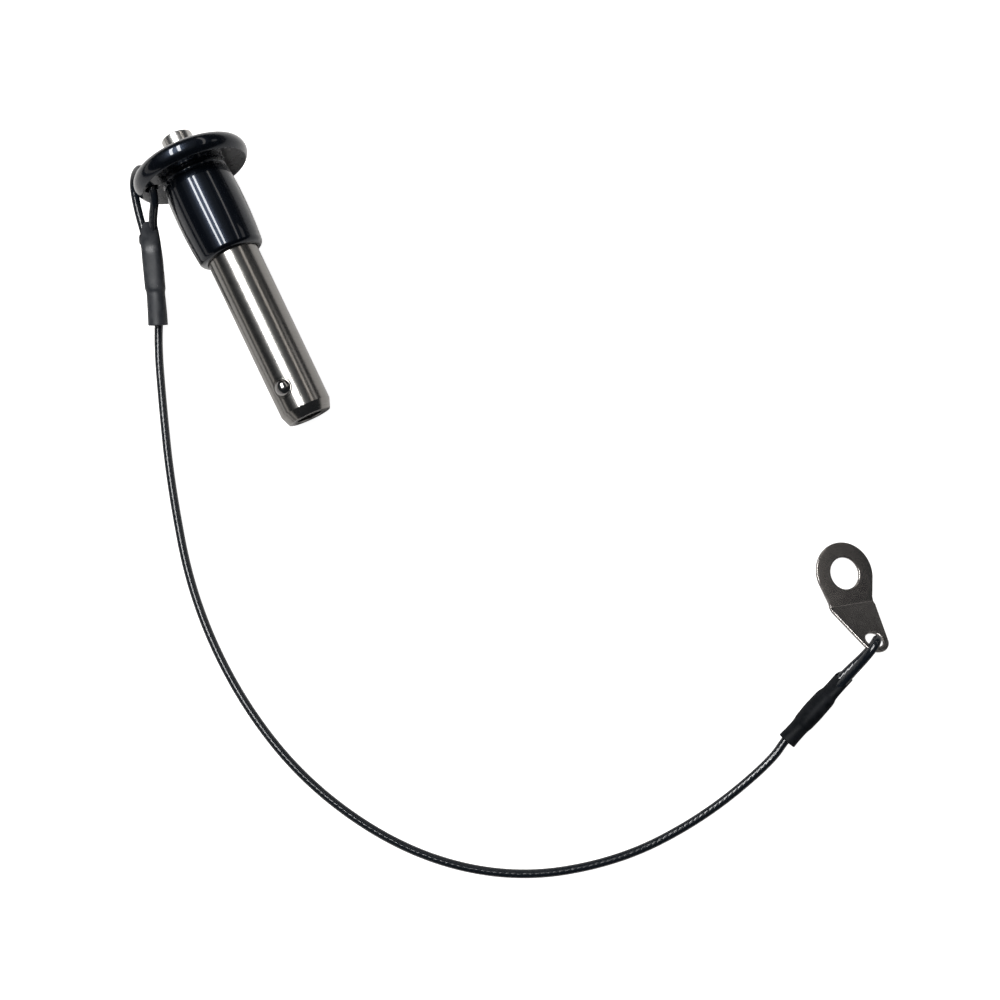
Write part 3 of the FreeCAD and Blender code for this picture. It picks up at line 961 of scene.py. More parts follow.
def turned_piece(
    name: str, outline: TurnedOutline, place: Place, closed: bool, steps: int = 192
) -> bpy.types.Object:
    """Spin a half outline once round the third axis of a place.

    Args:
        name: The piece's name.
        outline: The half outline.
        place: The axes.
        closed: Whether the outline goes round a bore, and not from axis to axis.
        steps: Facets round the axis.

    Returns:
        The new object.
    """
    bm = bmesh.new()
    points = [bm.verts.new(p) for p in outline.points()]
    ends = points[1:] + points[:1] if closed else points[1:]
    edges = [bm.edges.new(pair) for pair in zip(points, ends)]
    bmesh.ops.spin(
        bm,
        geom=points + edges,
        axis=(0.0, 0.0, 1.0),
        cent=(0.0, 0.0, 0.0),
        angle=math.tau,
        steps=steps,
        use_merge=True,
    )
    bmesh.ops.remove_doubles(bm, verts=bm.verts, dist=1e-4)
    bmesh.ops.recalc_face_normals(bm, faces=bm.faces)
    return finished_piece(name, bm, place)


def settle(
    piece: bpy.types.Object, body: Body, slot: str, finish: bpy.types.Material, *nodes: str
) -> bpy.types.Object:
    """Give a piece its finish and its body, and hide the CAD nodes it stands for.

    Args:
        piece: The piece.
        body: The body that it rides on.
        slot: The record's material slot; not used.
        finish: Its material.
        nodes: CAD nodes that it replaces.

    Returns:
        The piece.
    """
    piece.data.materials.clear()
    piece.data.materials.append(finish)
    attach(piece, body.value)
    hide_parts(*nodes)
    LOG.info("made %s", piece.name)
    return piece


def dress_node(node: str, finish: bpy.types.Material) -> None:
    """Give a CAD node that stays in sight its finish.

    Args:
        node: The node's name.
        finish: Its material.
    """
    mesh = frame["nodes"][node].data
    mesh.materials.clear()
    mesh.materials.append(finish)
    LOG.info("dressed %s", node)


@dataclass
class Handle:
    """Black flange and hub, turned from one bar.

    Args:
        top: Where the flange's upper face lies along the pin.
        bore_radius: Radius of the button's bore.
        rim_centre_radius: Radius at which the rim's arc is centred.
        rim_centre: Where that centre lies along the pin.
        rim_size: Radius of the rim's arc.
        edge_break: Rounding of the rim's lower edge.
        neck_radius: Radius of the neck under the flange.
        neck_fillet: Fillet between neck and flange.
        shoulder: Distance and radius where the barrel starts.
        waist: Distance and radius where it is widest.
        foot: Distance and radius where it ends.
        foot_round: Rounding of the hub's foot.
        end: Where the hub ends.
        shank_radius: Radius of the shank.
        seat: Where the shank's seat lies.
        hole_radius: Radius of the lanyard hole.
        hole_reach: How far the hole lies from the axis.
        hole_angle: How far it is turned from the top of the pin.
        hole_chamfer: Chamfer at both its ends.
        mouth_break: Chamfer at the mouth of the button's bore.
        shank_gap: Play of the shank in the hub.
        end_break: Chamfer where the shank leaves the hub.
    """

    top: float = -4.75
    bore_radius: float = 3.86
    rim_centre_radius: float = 11.78
    rim_centre: float = -2.13
    rim_size: float = 2.62
    edge_break: float = 0.14
    neck_radius: float = 7.9
    neck_fillet: float = 0.35
    shoulder: tuple[float, float] = (2.2, 8.39)
    waist: tuple[float, float] = (9.5, 8.63)
    foot: tuple[float, float] = (19.95, 8.13)
    foot_round: float = 1.43
    end: float = 21.4
    shank_radius: float = 6.35
    seat: float = 13.5
    hole_radius: float = 1.6
    hole_reach: float = 10.95
    hole_angle: float = 67.0
    hole_chamfer: float = 0.28
    mouth_break: float = 0.3
    shank_gap: float = 0.02
    end_break: float = 0.2

    RIM_STEPS = 26
    BARREL_STEPS = 20
    FOOT_STEPS = 14

    def outline(self) -> TurnedOutline:
        """Draw the half outline round the bore.

        Returns:
            The outline.
        """
        under = math.degrees(math.asin(-self.rim_centre / self.rim_size))
        rim_edge = self.rim_centre_radius + self.rim_size * math.cos(math.radians(under))
        line = TurnedOutline()
        line.to(self.top + self.mouth_break, self.bore_radius)
        line.to(self.top, self.bore_radius + self.mouth_break)
        rim = (self.rim_centre, self.rim_centre_radius, self.rim_size)
        line.arc(*rim, -90.0, under - 5.0, self.RIM_STEPS)
        line.to(0.0, rim_edge, self.edge_break)
        line.to(0.0, self.neck_radius, self.neck_fillet)
        line.to(2 * self.neck_fillet + 0.05, self.neck_radius, 0.08)
        line.to(1.15, self.shoulder[1] - 0.14, 0.5)
        line.barrel(self.shoulder, self.waist, self.foot, self.BARREL_STEPS)
        foot = (self.foot[0], self.foot[1] - self.foot_round, self.foot_round)
        line.arc(*foot, 8.0, 90.0, self.FOOT_STEPS)
        hold = self.shank_radius + self.shank_gap
        line.to(self.end, hold + self.end_break).to(self.end - self.end_break, hold)
        return line.to(self.seat, hold).to(self.seat, self.bore_radius)

    def hole_cutter(self, place: Place) -> bpy.types.Object:
        """Make the shape of the lanyard hole, flared at both faces.

        Args:
            place: The pin's axes.

        Returns:
            The shape to cut with.
        """
        turn = math.radians(self.hole_angle)
        centre = Vector((self.hole_reach * math.cos(turn), self.hole_reach * math.sin(turn), 0.0))
        wide, flare = self.hole_radius + 2 * self.hole_chamfer, self.hole_chamfer
        line = TurnedOutline().to(self.top - flare, 0.0).to(self.top - flare, wide)
        line.to(self.top + flare, self.hole_radius).to(-flare, self.hole_radius)
        line.to(flare, wide).to(flare, 0.0)
        local = Place(place.matrix @ Matrix.Translation(centre))
        return turned_piece("hole_cutter", line, local, False, 48)

    def build(self, place: Place, finish: bpy.types.Material) -> bpy.types.Object:
        """Build the handle.

        Args:
            place: The pin's axes.
            finish: Its material.

        Returns:
            The handle.
        """
        piece = turned_piece("turned_handle", self.outline(), place, True, 256)
        carve(piece, [self.hole_cutter(place)])
        even_shading(piece)
        return settle(piece, Body.PIN, "black_anodised", finish, "handle")


@dataclass
class Shank:
    """Steel shank with a chamfered nose, a stepped bore and two staked ball holes.

    Args:
        radius: Radius of the grip.
        seat: Where the shank starts inside the hub.
        grip_end: Where the lead to the nose starts.
        lead_radius: Radius at the end of the lead.
        chamfer_start: Where the nose's chamfer starts.
        end: Where the nose ends.
        nose_radius: Radius of the nose's face.
        bore_radius: Radius of the bore in the nose.
        bore_chamfer: Chamfer at the bore's mouth.
        bore_step: Where the bore steps down to the guide.
        guide_radius: Radius of the spindle's guide.
        ball_radius: Radius of the balls' holes.
        ball_reach: Where the holes' domes are centred, from the axis.
        ball_distance: Where the balls lie along the pin.
        ball_angle: How far the balls are turned from the top of the pin.
        seat_drop: How much thinner the shank is at its seat.
        edge_break: Rounding of the nose's edges.
    """

    radius: float = 6.35
    seat: float = 13.5
    grip_end: float = 53.6
    lead_radius: float = 6.3
    chamfer_start: float = 62.15
    end: float = 64.58
    nose_radius: float = 5.32
    bore_radius: float = 3.25
    bore_chamfer: float = 0.2
    bore_step: float = 46.13
    guide_radius: float = 2.05
    ball_radius: float = 2.21
    ball_reach: float = 5.4
    ball_distance: float = 56.36
    ball_angle: float = 25.0
    seat_drop: float = 0.01
    edge_break: float = 0.08

    def outline(self) -> TurnedOutline:
        """Draw the half outline round the bore.

        Returns:
            The outline.
        """
        line = TurnedOutline()
        line.to(self.seat, self.guide_radius).to(self.seat, self.radius - self.seat_drop)
        line.to(self.grip_end, self.radius)
        line.to(self.chamfer_start, self.lead_radius, self.edge_break)
        line.to(self.end, self.nose_radius, self.edge_break)
        line.to(self.end, self.bore_radius + self.bore_chamfer)
        line.to(self.end - self.bore_chamfer, self.bore_radius)
        return line.to(self.bore_step, self.bore_radius).to(self.bore_step, self.guide_radius)

    def ball_cutter(self, place: Place, angle: float) -> bpy.types.Object:
        """Make the shape of a ball's hole, domed at its outer end.

        Args:
            place: The pin's axes.
            angle: How far the hole is turned from the top of the pin.

        Returns:
            The shape to cut with.
        """
        turn = math.radians(angle)
        out = Vector((math.cos(turn), math.sin(turn), 0.0))
        side = Vector((-math.sin(turn), math.cos(turn), 0.0))
        axes = Matrix((side, out.cross(side), out)).transposed().to_4x4()
        local = Place(place.matrix @ Matrix.Translation((0.0, 0.0, self.ball_distance)) @ axes)
        inside = self.bore_radius * 0.5
        line = TurnedOutline().to(inside, 0.0).to(inside, self.ball_radius)
        line.arc(self.ball_reach, 0.0, self.ball_radius, 0.0, 90.0, 20)
        return turned_piece("ball_cutter", line, local, False, 64)

    def build(self, place: Place, finish: bpy.types.Material) -> bpy.types.Object:
        """Build the shank.

        Args:
            place: The pin's axes.
            finish: Its material.

        Returns:
            The shank.
        """
        piece = turned_piece("ground_shank", self.outline(), place, True, 256)
        carve(piece, [self.ball_cutter(place, self.ball_angle + turn) for turn in (0.0, 180.0)])
        even_shading(piece)
        return settle(piece, Body.PIN, "shank_steel", finish, "shank")


@dataclass
class PushButton:
    """Satin steel button whose stem goes down inside the spring.

    Args:
        top: Where its face lies along the pin.
        radius: Its radius.
        edge_round: Rounding of its edge.
        foot: Where its wide part ends.
        stem_radius: Radius of the stem.
        stem_end: Where the stem ends.
    """

    top: float = -10.7
    radius: float = 3.8
    edge_round: float = 0.5
    foot: float = 1.0
    stem_radius: float = 2.5
    stem_end: float = 8.85

    def build(self, place: Place, finish: bpy.types.Material) -> bpy.types.Object:
        """Build the button.

        Args:
            place: The pin's axes.
            finish: Its material.

        Returns:
            The button.
        """
        line = TurnedOutline().to(self.top, 0.0).to(self.top, self.radius, self.edge_round)
        line.to(self.foot, self.radius).to(self.foot, self.stem_radius)
        line.to(self.stem_end, self.stem_radius).to(self.stem_end, 0.0)
        piece = turned_piece("satin_button", line, place, False)
        even_shading(piece)
        return settle(piece, Body.PLUNGER, "button_steel", finish, "push_button")


@dataclass
class LockingBall:
    """One of the two balls that lock the pin.

    Args:
        node: The CAD node it stands for.
        body: The body it rides on.
    """

    node: str
    body: Body

    def build(self, finish: bpy.types.Material) -> bpy.types.Object:
        """Build the ball where its CAD node lies.

        Args:
            finish: Its material.

        Returns:
            The ball.
        """
        low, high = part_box(self.node)
        bm = bmesh.new()
        centre = Matrix.Translation((low + high) / 2.0)
        bmesh.ops.create_icosphere(bm, subdivisions=5, radius=(high.x - low.x) / 2.0, matrix=centre)
        piece = finished_piece("polished_" + self.node, bm, None)
        return settle(piece, self.body, "ball_steel", finish, self.node)


@dataclass
class LanyardCable:
    """The coated wire rope, from one cut end in its ferrule to the other.

    Args:
        radius: The coat's outer radius.
        steps: Steps in each stretch between two points of the route.
        round_steps: A quarter of the facets round the coat.
    """

    radius: float = 1.0
    steps: int = 28
    round_steps: int = 3

    UV_NAME = "cable_distance"
    ROUTE = (
        (-9.87, -21.874, 5.37),
        (-14.397, -19.935, 7.04),
        (-19.577, -17.6, 8.968),
        (-27.155, -16.237, 10.607),
        (-33.504, -14.009, 13.022),
        (-32.518, -9.82, 19.288),
        (-24.594, -10.034, 18.182),
        (-21.65, -13.9, 12.8),
        (-19.251, -15.449, 9.16),
        (-12.471, -18.38, 6.655),
        (-5.557, -21.478, 4.085),
        (1.8, -26.4, 1.0),
        (16.8, -31.6, 1.0),
        (36.5, -37.9, 1.0),
        (63.8, -44.2, 1.0),
        (91.4, -43.8, 1.0),
        (117.2, -37.1, 1.0),
        (140.9, -22.5, 1.0),
        (156.6, -2.8, 1.0),
        (163.6, 20.5, 1.0),
        (163.5, 42.3, 1.0),
        (159.1, 62.9, 1.0),
        (155.035, 69.959, 1.702),
        (148.478, 85.412, 4.964),
        (145.263, 95.255, 7.534),
        (142.838, 97.151, 11.475),
        (144.635, 93.949, 14.121),
        (149.437, 85.424, 6.832),
        (151.991, 79.46, 5.617),
        (154.269, 74.038, 4.429),
    )

    def curve(self, thick: bool) -> bpy.types.Object:
        """Draw the route as a smooth curve.

        Args:
            thick: Whether it has the coat's thickness.

        Returns:
            The curve.
        """
        data = bpy.data.curves.new("route", "CURVE")
        data.dimensions = "3D"
        spline = data.splines.new("NURBS")
        spline.points.add(len(self.ROUTE) - 1)
        for point, at in zip(spline.points, self.ROUTE):
            point.co = (*(Vector(at) * MM), 1.0)
        spline.order_u = 3
        spline.use_endpoint_u = True
        spline.resolution_u = self.steps
        if thick:
            data.bevel_depth = self.radius * MM
            data.bevel_resolution = self.round_steps
            data.use_fill_caps = True
        piece = bpy.data.objects.new("route", data)
        bpy.context.scene.collection.objects.link(piece)
        return piece

    def mesh_of(self, thick: bool) -> bpy.types.Mesh:
        """Turn the route into a mesh.

        Args:
            thick: Whether it has the coat's thickness.

        Returns:
            The mesh.
        """
        curve = self.curve(thick)
        graph = bpy.context.evaluated_depsgraph_get()
        mesh = bpy.data.meshes.new_from_object(curve.evaluated_get(graph))
        bpy.data.objects.remove(curve)
        return mesh

    def write_distances(self, mesh: bpy.types.Mesh, path: Sequence[Vector]) -> None:
        """Store the distance along the cable and round it in the mesh's own map.

        Args:
            mesh: The coat, ring after ring.
            path: The cable's line, one point to a ring.
        """
        around = len(mesh.vertices) // len(path)
        travelled = [0.0]
        for here, there in zip(path, path[1:]):
            travelled.append(travelled[-1] + (there - here).length / MM)
        layer = mesh.uv_layers.new(name=self.UV_NAME)
        for face in mesh.polygons:
            columns = [mesh.loops[i].vertex_index % around for i in face.loop_indices]
            wraps = 0 in columns and around - 1 in columns
            for i, column in zip(face.loop_indices, columns):
                ring = min(mesh.loops[i].vertex_index // around, len(path) - 1)
                turn = around if wraps and column == 0 else column
                layer.data[i].uv = (travelled[ring], turn / around)

    def build(
        self, finish: bpy.types.Material, carried: Sequence[bpy.types.Object]
    ) -> bpy.types.Object:
        """Build the cable.

        Args:
            finish: The coat's material.
            carried: The pieces on the cable; not used.

        Returns:
            The cable.
        """
        line = self.mesh_of(thick=False)
        path = [v.co.copy() for v in line.vertices]
        bpy.data.meshes.remove(line)
        mesh = self.mesh_of(thick=True)
        while mesh.uv_layers:
            mesh.uv_layers.remove(mesh.uv_layers[0])
        self.write_distances(mesh, path)
        for face in mesh.polygons:
            face.use_smooth = True
        mesh.set_sharp_from_angle(angle=math.radians(60.0))
        piece = bpy.data.objects.new("coated_cable", mesh)
        bpy.context.scene.collection.objects.link(piece)
        settle(piece, Body.PIN, "cable_coat", finish, "lanyard_cable")
        return piece


@dataclass(frozen=True)
class SleeveRing:
    """One oval across a shrink sleeve.

    Args:
        along: Distance from the sleeve's foot.
        wide: Half its width from strand to strand.
        tall: Half its height.
        pinch: How far the middle sinks between the strands.
        square: How boxy the oval is, from 2 for an ellipse.
        shift: How far its centre is moved towards the first strand.
        lift: How far its centre is moved out of the sleeve's line.
        tilt: How far it is turned towards the first strand, in degrees.
    """

    along: float
    wide: float
    tall: float
    pinch: float = 0.0
    square: float = 2.0
    shift: float = 0.0
    lift: float = 0.0
    tilt: float = 0.0


@dataclass
class ShrinkSleeve:
    """Heat-shrunk tube over a crimped ferrule and the two strands beside it.

    Args:
        name: The piece's name.
        node: The CAD node it stands for.
        place: Axes with the foot at the origin: across the strands, out of both, and along.
        rings: The ovals along it.
        slant: How much further back the head end is on one side.
        slant_turn: Where that side is, in degrees from the first strand.
        wall: The tube's wall.
        ripple: Height of its uneven bumps.
        seed: Where its bumps are taken from.
        facets: Facets round it, before it is smoothed.
    """

    name: str
    node: str
    place: Place
    rings: Sequence[SleeveRing]
    slant: float = 0.0
    slant_turn: float = 0.0
    wall: float = 0.42
    ripple: float = 0.07
    seed: float = 0.0
    facets: int = 40

    BUMPS_PER_MM = 0.42
    SMOOTHING = 2

    def shape_ring(
        self, ring: SleeveRing, verts: Sequence[bmesh.types.BMVert], is_head: bool
    ) -> None:
        """Move a unit circle's corners to a ring's oval.

        Args:
            ring: The oval.
            verts: The corners.
            is_head: Whether the ring is cut at a slant.
        """
        for vert in verts:
            angle = math.atan2(vert.co.y, vert.co.x)
            c, s = math.cos(angle), math.sin(angle)
            power = 2.0 / ring.square
            x = math.copysign(abs(c) ** power, c) * ring.wide
            y = math.copysign(abs(s) ** power, s) * ring.tall
            y *= 1.0 - ring.pinch * max(0.0, 1.0 - (x / (0.75 * ring.wide)) ** 2)
            turn = math.radians(self.slant_turn)
            side = (x * math.cos(turn) + y * math.sin(turn)) / ring.wide
            back = self.slant * max(0.0, side + 0.1) if is_head else 0.0
            spoke = Matrix.Rotation(math.radians(-ring.tilt), 2) @ Vector((x, y))
            vert.co = Vector((spoke.x + ring.shift, spoke.y + ring.lift, ring.along - back))

    def build(self, finish: bpy.types.Material) -> bpy.types.Object:
        """Build the sleeve.

        Args:
            finish: Its material.

        Returns:
            The sleeve.
        """
        bm = bmesh.new()
        loops: list[list[bmesh.types.BMEdge]] = []
        for i, ring in enumerate(self.rings):
            circle = bmesh.ops.create_circle(bm, cap_ends=False, segments=self.facets, radius=1.0)
            made = circle["verts"]
            loops.append(list({edge for vert in made for edge in vert.link_edges}))
            self.shape_ring(ring, made, i >= len(self.rings) - 2)
        for low, high in zip(loops, loops[1:]):
            bmesh.ops.bridge_loops(bm, edges=low + high)
        bmesh.ops.recalc_face_normals(bm, faces=bm.faces)
        outward = sum(face.normal.xy.dot(face.calc_center_median().xy) for face in bm.faces)
        if outward < 0.0:
            bmesh.ops.reverse_faces(bm, faces=bm.faces)
        inner_ends = {v for edge in loops[0] + loops[-1] for v in edge.verts}
        for vert in bm.verts:
            if vert not in inner_ends:
                at = vert.co * self.BUMPS_PER_MM + Vector((self.seed, 0.0, 0.0))
                vert.co += vert.normal * noise.noise(at) * self.ripple
        piece = finished_piece(self.name, bm, self.place, 60.0)
        thick = piece.modifiers.new("wall", "SOLIDIFY")
        thick.thickness = self.wall * MM
        thick.offset = -1.0
        smooth = piece.modifiers.new("smooth", "SUBSURF")
        smooth.levels = self.SMOOTHING
        smooth.render_levels = self.SMOOTHING
        apply_modifiers(piece)
        return settle(piece, Body.PIN, "shrink_sleeve", finish, self.node)


@dataclass
class FixingTab:
    """Blanked sheet tab with a bolt hole in its head and a small hole in its bent-up leg.

    Args:
        thickness: Thickness of the sheet.
        head_radius: Radius of the head.
        end_radius: Radius of the leg's end.
        pitch: Distance between the two holes.
        bend_at: Where the bend lies, from the bolt hole.
        bend_flat: Half the stretch of the outline that runs straight at the bend.
        bend_degrees: How far the leg is bent up.
        bend_radius: Inner radius of the bend.
        bolt_radius: Radius of the bolt hole.
        eye_radius: Radius of the cable's hole.
        edge_round: Rounding of all edges.
    """

    thickness: float = 0.8
    head_radius: float = 7.58
    end_radius: float = 3.46
    pitch: float = 18.3
    bend_at: float = 7.6
    bend_flat: float = 1.0
    bend_degrees: float = 33.0
    bend_radius: float = 0.6
    bolt_radius: float = 3.85
    eye_radius: float = 2.1
    edge_round: float = 0.26

    HEAD_STEPS = 64
    END_STEPS = 32
    HOLE_STEPS = 72
    BEND_STEPS = 8

    def place(self) -> Place:
        """Find the head's axes from the frame's joint and mount.

        Returns:
            The axes along the tab, across it and out of its face.
        """
        face = Vector(mount_named("tab_hole")["axis"]).normalized()
        leg = Vector(joint_named("tab_swing")["axis"]).normalized()
        across = leg.cross(face).normalized()
        middle = Vector(mount_named("tab_hole")["pos_m"]) + face * self.thickness / 2 * MM
        return Place.from_axes(middle, across.cross(face), across, face)

    def outline(self) -> list[Vector]:
        """Draw the blank, with a short straight stretch at the bend.

        Returns:
            Its outline, anticlockwise from the head's upper tangent.
        """
        lean = math.asin((self.head_radius - self.end_radius) / self.pitch)
        half = self.head_radius / math.cos(lean) - math.tan(lean) * self.bend_at
        before, after = self.bend_at - self.bend_flat, self.bend_at + self.bend_flat
        head = math.atan2(half, before) + math.acos(self.head_radius / math.hypot(before, half))
        span = self.pitch - after
        end = math.atan2(half, -span) - math.acos(self.end_radius / math.hypot(span, half))
        points = []
        for i in range(self.HEAD_STEPS + 1):
            angle = head + (math.tau - 2 * head) * i / self.HEAD_STEPS
            x, y = self.head_radius * math.cos(angle), self.head_radius * math.sin(angle)
            points.append(Vector((x, y, 0.0)))
        points += [Vector((before, -half, 0.0)), Vector((after, -half, 0.0))]
        for i in range(self.END_STEPS + 1):
            angle = -end + 2 * end * i / self.END_STEPS
            x, y = self.end_radius * math.cos(angle), self.end_radius * math.sin(angle)
            points.append(Vector((self.pitch + x, y, 0.0)))
        return points + [Vector((after, half, 0.0)), Vector((before, half, 0.0))]

    def fold(self, point: Vector) -> Vector:
        """Bend the leg up at one point of the blank.

        Args:
            point: The point while the blank is flat.

        Returns:
            Where it comes to lie.
        """
        turn = math.radians(self.bend_degrees)
        back = self.bend_radius * math.tan(turn / 2)
        share = (point.x - self.bend_at + back) / (2 * back)
        if share <= 0.0:
            return point
        if share >= 1.0:
            pivot = Vector((self.bend_at, 0.0, 0.0))
            return pivot + Matrix.Rotation(-turn, 3, "Y") @ (point - pivot)
        centre = Vector((self.bend_at - back, 0.0, self.bend_radius))
        reach = self.bend_radius - point.z
        angle = turn * share
        return centre + Vector((reach * math.sin(angle), point.y, -reach * math.cos(angle)))

    def build(self, finish: bpy.types.Material) -> bpy.types.Object:
        """Build the tab.

        Args:
            finish: Its material.

        Returns:
            The tab.
        """
        bm = bmesh.new()
        rim = [bm.verts.new(p) for p in self.outline()]
        edges = [bm.edges.new(pair) for pair in zip(rim, rim[1:] + rim[:1])]
        for centre, radius in ((0.0, self.bolt_radius), (self.pitch, self.eye_radius)):
            middle = Matrix.Translation((centre, 0.0, 0.0))
            made = bmesh.ops.create_circle(
                bm, cap_ends=False, segments=self.HOLE_STEPS, radius=radius, matrix=middle
            )["verts"]
            edges += list({edge for vert in made for edge in vert.link_edges})
        bmesh.ops.triangle_fill(bm, use_beauty=True, use_dissolve=False, edges=edges)
        back = self.bend_radius * math.tan(math.radians(self.bend_degrees) / 2)
        for i in range(self.BEND_STEPS + 1):
            at = self.bend_at - back + 2 * back * i / self.BEND_STEPS
            whole = bm.verts[:] + bm.edges[:] + bm.faces[:]
            bmesh.ops.bisect_plane(
                bm, geom=whole, dist=1e-5, plane_co=(at, 0, 0), plane_no=(1, 0, 0)
            )
        made = bmesh.ops.extrude_face_region(bm, geom=bm.faces[:])["geom"]
        lower = [part for part in made if isinstance(part, bmesh.types.BMVert)]
        bmesh.ops.translate(bm, vec=(0.0, 0.0, -self.thickness), verts=lower)
        bmesh.ops.recalc_face_normals(bm, faces=bm.faces)
        steep = math.radians(60.0)
        rims = [edge for edge in bm.edges if edge.is_manifold and edge.calc_face_angle(0.0) > steep]
        bmesh.ops.bevel(
            bm,
            geom=rims,
            offset=self.edge_round,
            segments=4,
            profile=0.5,
            affect="EDGES",
            material=-1,
            clamp_overlap=True,
        )
        for vert in bm.verts:
            vert.co = self.fold(vert.co)
        piece = finished_piece("blanked_tab", bm, self.place(), 35.0)
        even_shading(piece)
        return settle(piece, Body.TAB, "tab_steel", finish, "fixing_tab")


@dataclass
class SleeveAxes:
    """The line of a sleeve and the way its two strands lie beside each other.

    Args:
        foot: Where its foot's centre is, in millimetres.
        head: A point further along its line.
        twist: How far the strands are turned out of level, in degrees.
        flip: 1 or -1, the side that the first strand is on.
    """

    foot: tuple[float, float, float]
    head: tuple[float, float, float]
    twist: float
    flip: float

    def place(self) -> Place:
        """Work out the sleeve's axes.

        Returns:
            The axes across the strands, out of both, and along the sleeve.
        """
        foot = Vector(self.foot)
        along = (Vector(self.head) - foot).normalized()
        level = along.cross(Vector((0.0, 0.0, 1.0))).normalized() * self.flip
        high = along.cross(level)
        if high.z < 0:
            high = -high
        turn = math.radians(self.twist)
        across = level * math.cos(turn) + high * math.sin(turn)
        out = high * math.cos(turn) - level * math.sin(turn)
        return Place.from_axes(foot * MM, across, out, along)


@dataclass
class Studio:
    """Table, lights and camera.

    Args:
        table_colour: Colour of the pale table.
        table_glow: Light that the table adds where it is seen directly, so that it looks white.
        table_half: Half the table's width.
        table_drop: How far the table lies under the part, so that they don't flicker.
        room_colour: Colour of the dim room, which only reflections show.
        lens: Focal length in millimetres, for a sensor of 36 mm.
        camera_at: Where the camera is.
        camera_aim: The point on the table that it faces.
        camera_right: Which way on the table the right of the picture is.
    """

    table_colour: Colour = (0.55, 0.54, 0.53)
    table_glow: float = 0.95
    table_half: float = 3.0
    table_drop: float = 0.00002
    room_colour: Colour = (0.030, 0.033, 0.037)
    lens: float = 41.62
    camera_at: Colour = (0.11153, 0.01516, 0.27994)
    camera_aim: Colour = (0.07477, 0.03294, 0.0)
    camera_right: Colour = (0.4354, 0.9002, 0.0)

    def table(self) -> None:
        """Lay the pale table under the part."""
        material, sheet, shader = new_finish("table")
        grain = sheet.noise(sheet.coordinates(), 0.02, 2.0)
        shade = sheet.blend(grain, self.table_colour, scaled(self.table_colour, 1.02))
        sheet.feed(shader.inputs["Base Color"], shade)
        shader.inputs["Roughness"].default_value = 0.9
        shader.inputs["Specular IOR Level"].default_value = 0.1
        seen = sheet.add("ShaderNodeLightPath").outputs["Is Camera Ray"]
        shader.inputs["Emission Color"].default_value = (1.0, 1.0, 1.0, 1.0)
        sheet.feed(shader.inputs["Emission Strength"], sheet.sum("MULTIPLY", seen, self.table_glow))
        bm = bmesh.new()
        bmesh.ops.create_grid(bm, x_segments=2, y_segments=2, size=self.table_half)
        bmesh.ops.translate(bm, vec=(0.0, 0.0, -self.table_drop), verts=bm.verts)
        table = finished_piece("table", bm, None)
        table.data.materials.append(material)

    @staticmethod
    def panel(
        name: str,
        at: Colour,
        aim: Colour,
        size: tuple[float, float],
        radiance: float,
        colour: Colour = (1.0, 1.0, 1.0),
    ) -> None:
        """Hang a rectangular light.

        Args:
            name: Its name.
            at: Its middle.
            aim: The point that it faces.
            size: Its width along the pin and its width across.
            radiance: How bright it looks.
            colour: Its colour.
        """
        light = bpy.data.lights.new(name, "AREA")
        light.shape = "RECTANGLE"
        light.size, light.size_y = size
        light.energy = radiance * math.pi * size[0] * size[1]
        light.color = colour
        lamp = bpy.data.objects.new(name, light)
        bpy.context.scene.collection.objects.link(lamp)
        down = (Vector(aim) - Vector(at)).normalized()
        side = Vector((1.0, 0.0, 0.0))
        side = (side - down * side.dot(down)).normalized()
        turn = Matrix((side, -down.cross(side), -down)).transposed()
        lamp.matrix_world = Matrix.Translation(at) @ turn.to_4x4()

    def lights(self) -> None:
        """Hang the lights and set the dim room around them."""
        pin = (0.0, 0.0, 0.014)
        self.panel("left box", (-0.20, -0.165, 0.55), pin, (0.62, 0.06), 25.0)
        self.panel("middle box", (-0.20, -0.016, 0.57), pin, (0.62, 0.06), 25.0)
        table = (0.0, 0.0, 0.0)
        cool, warm = (0.93, 0.97, 1.0), (1.0, 0.95, 0.9)
        self.panel("dim ceiling", (-0.15, -0.10, 0.85), table, (1.5, 1.3), 0.10, cool)
        self.panel("right strip", (-0.2, 0.42, 0.42), pin, (0.9, 0.055), 2.2, warm)
        tab, card = (0.127, 0.1, 0.0), (1.0, 0.97, 0.95)
        self.panel("tab card", (0.0, 0.80, 0.37), tab, (0.25, 0.16), 0.8, card)
        level, wall = (0.0, 0.0, 0.03), (1.0, 0.96, 0.92)
        self.panel("right wall", (-0.3, 1.0, 0.085), level, (1.2, 0.17), 0.08, warm)
        self.panel("left wall", (0.0, -0.9, 0.22), level, (2.2, 0.16), 0.7, wall)
        world = bpy.data.worlds.new("dim room")
        world.use_nodes = True
        sheet = NodeSheet(world.node_tree)
        seen = sheet.add("ShaderNodeLightPath").outputs["Is Camera Ray"]
        room = sheet.blend(seen, self.room_colour, (1.0, 1.0, 1.0))
        sheet.feed(world.node_tree.nodes["Background"].inputs["Color"], room)
        bpy.context.scene.world = world

    def camera(self) -> None:
        """Set the camera above the nose, where the photograph was taken from."""
        data = bpy.data.cameras.new("photo camera")
        data.sensor_width = 36.0
        data.lens = self.lens
        data.clip_start = 0.01
        data.clip_end = 20.0
        right = Vector(self.camera_right).normalized()
        at = Vector(self.camera_at)
        back = (at - Vector(self.camera_aim)).normalized()
        up = back.cross(right).normalized()
        right = up.cross(back).normalized()
        camera = bpy.data.objects.new("photo camera", data)
        bpy.context.scene.collection.objects.link(camera)
        turn = Matrix((right, up, back)).transposed()
        camera.matrix_world = Matrix.Translation(at) @ turn.to_4x4()
        bpy.context.scene.camera = camera
        bpy.context.scene.view_settings.view_transform = "Standard"


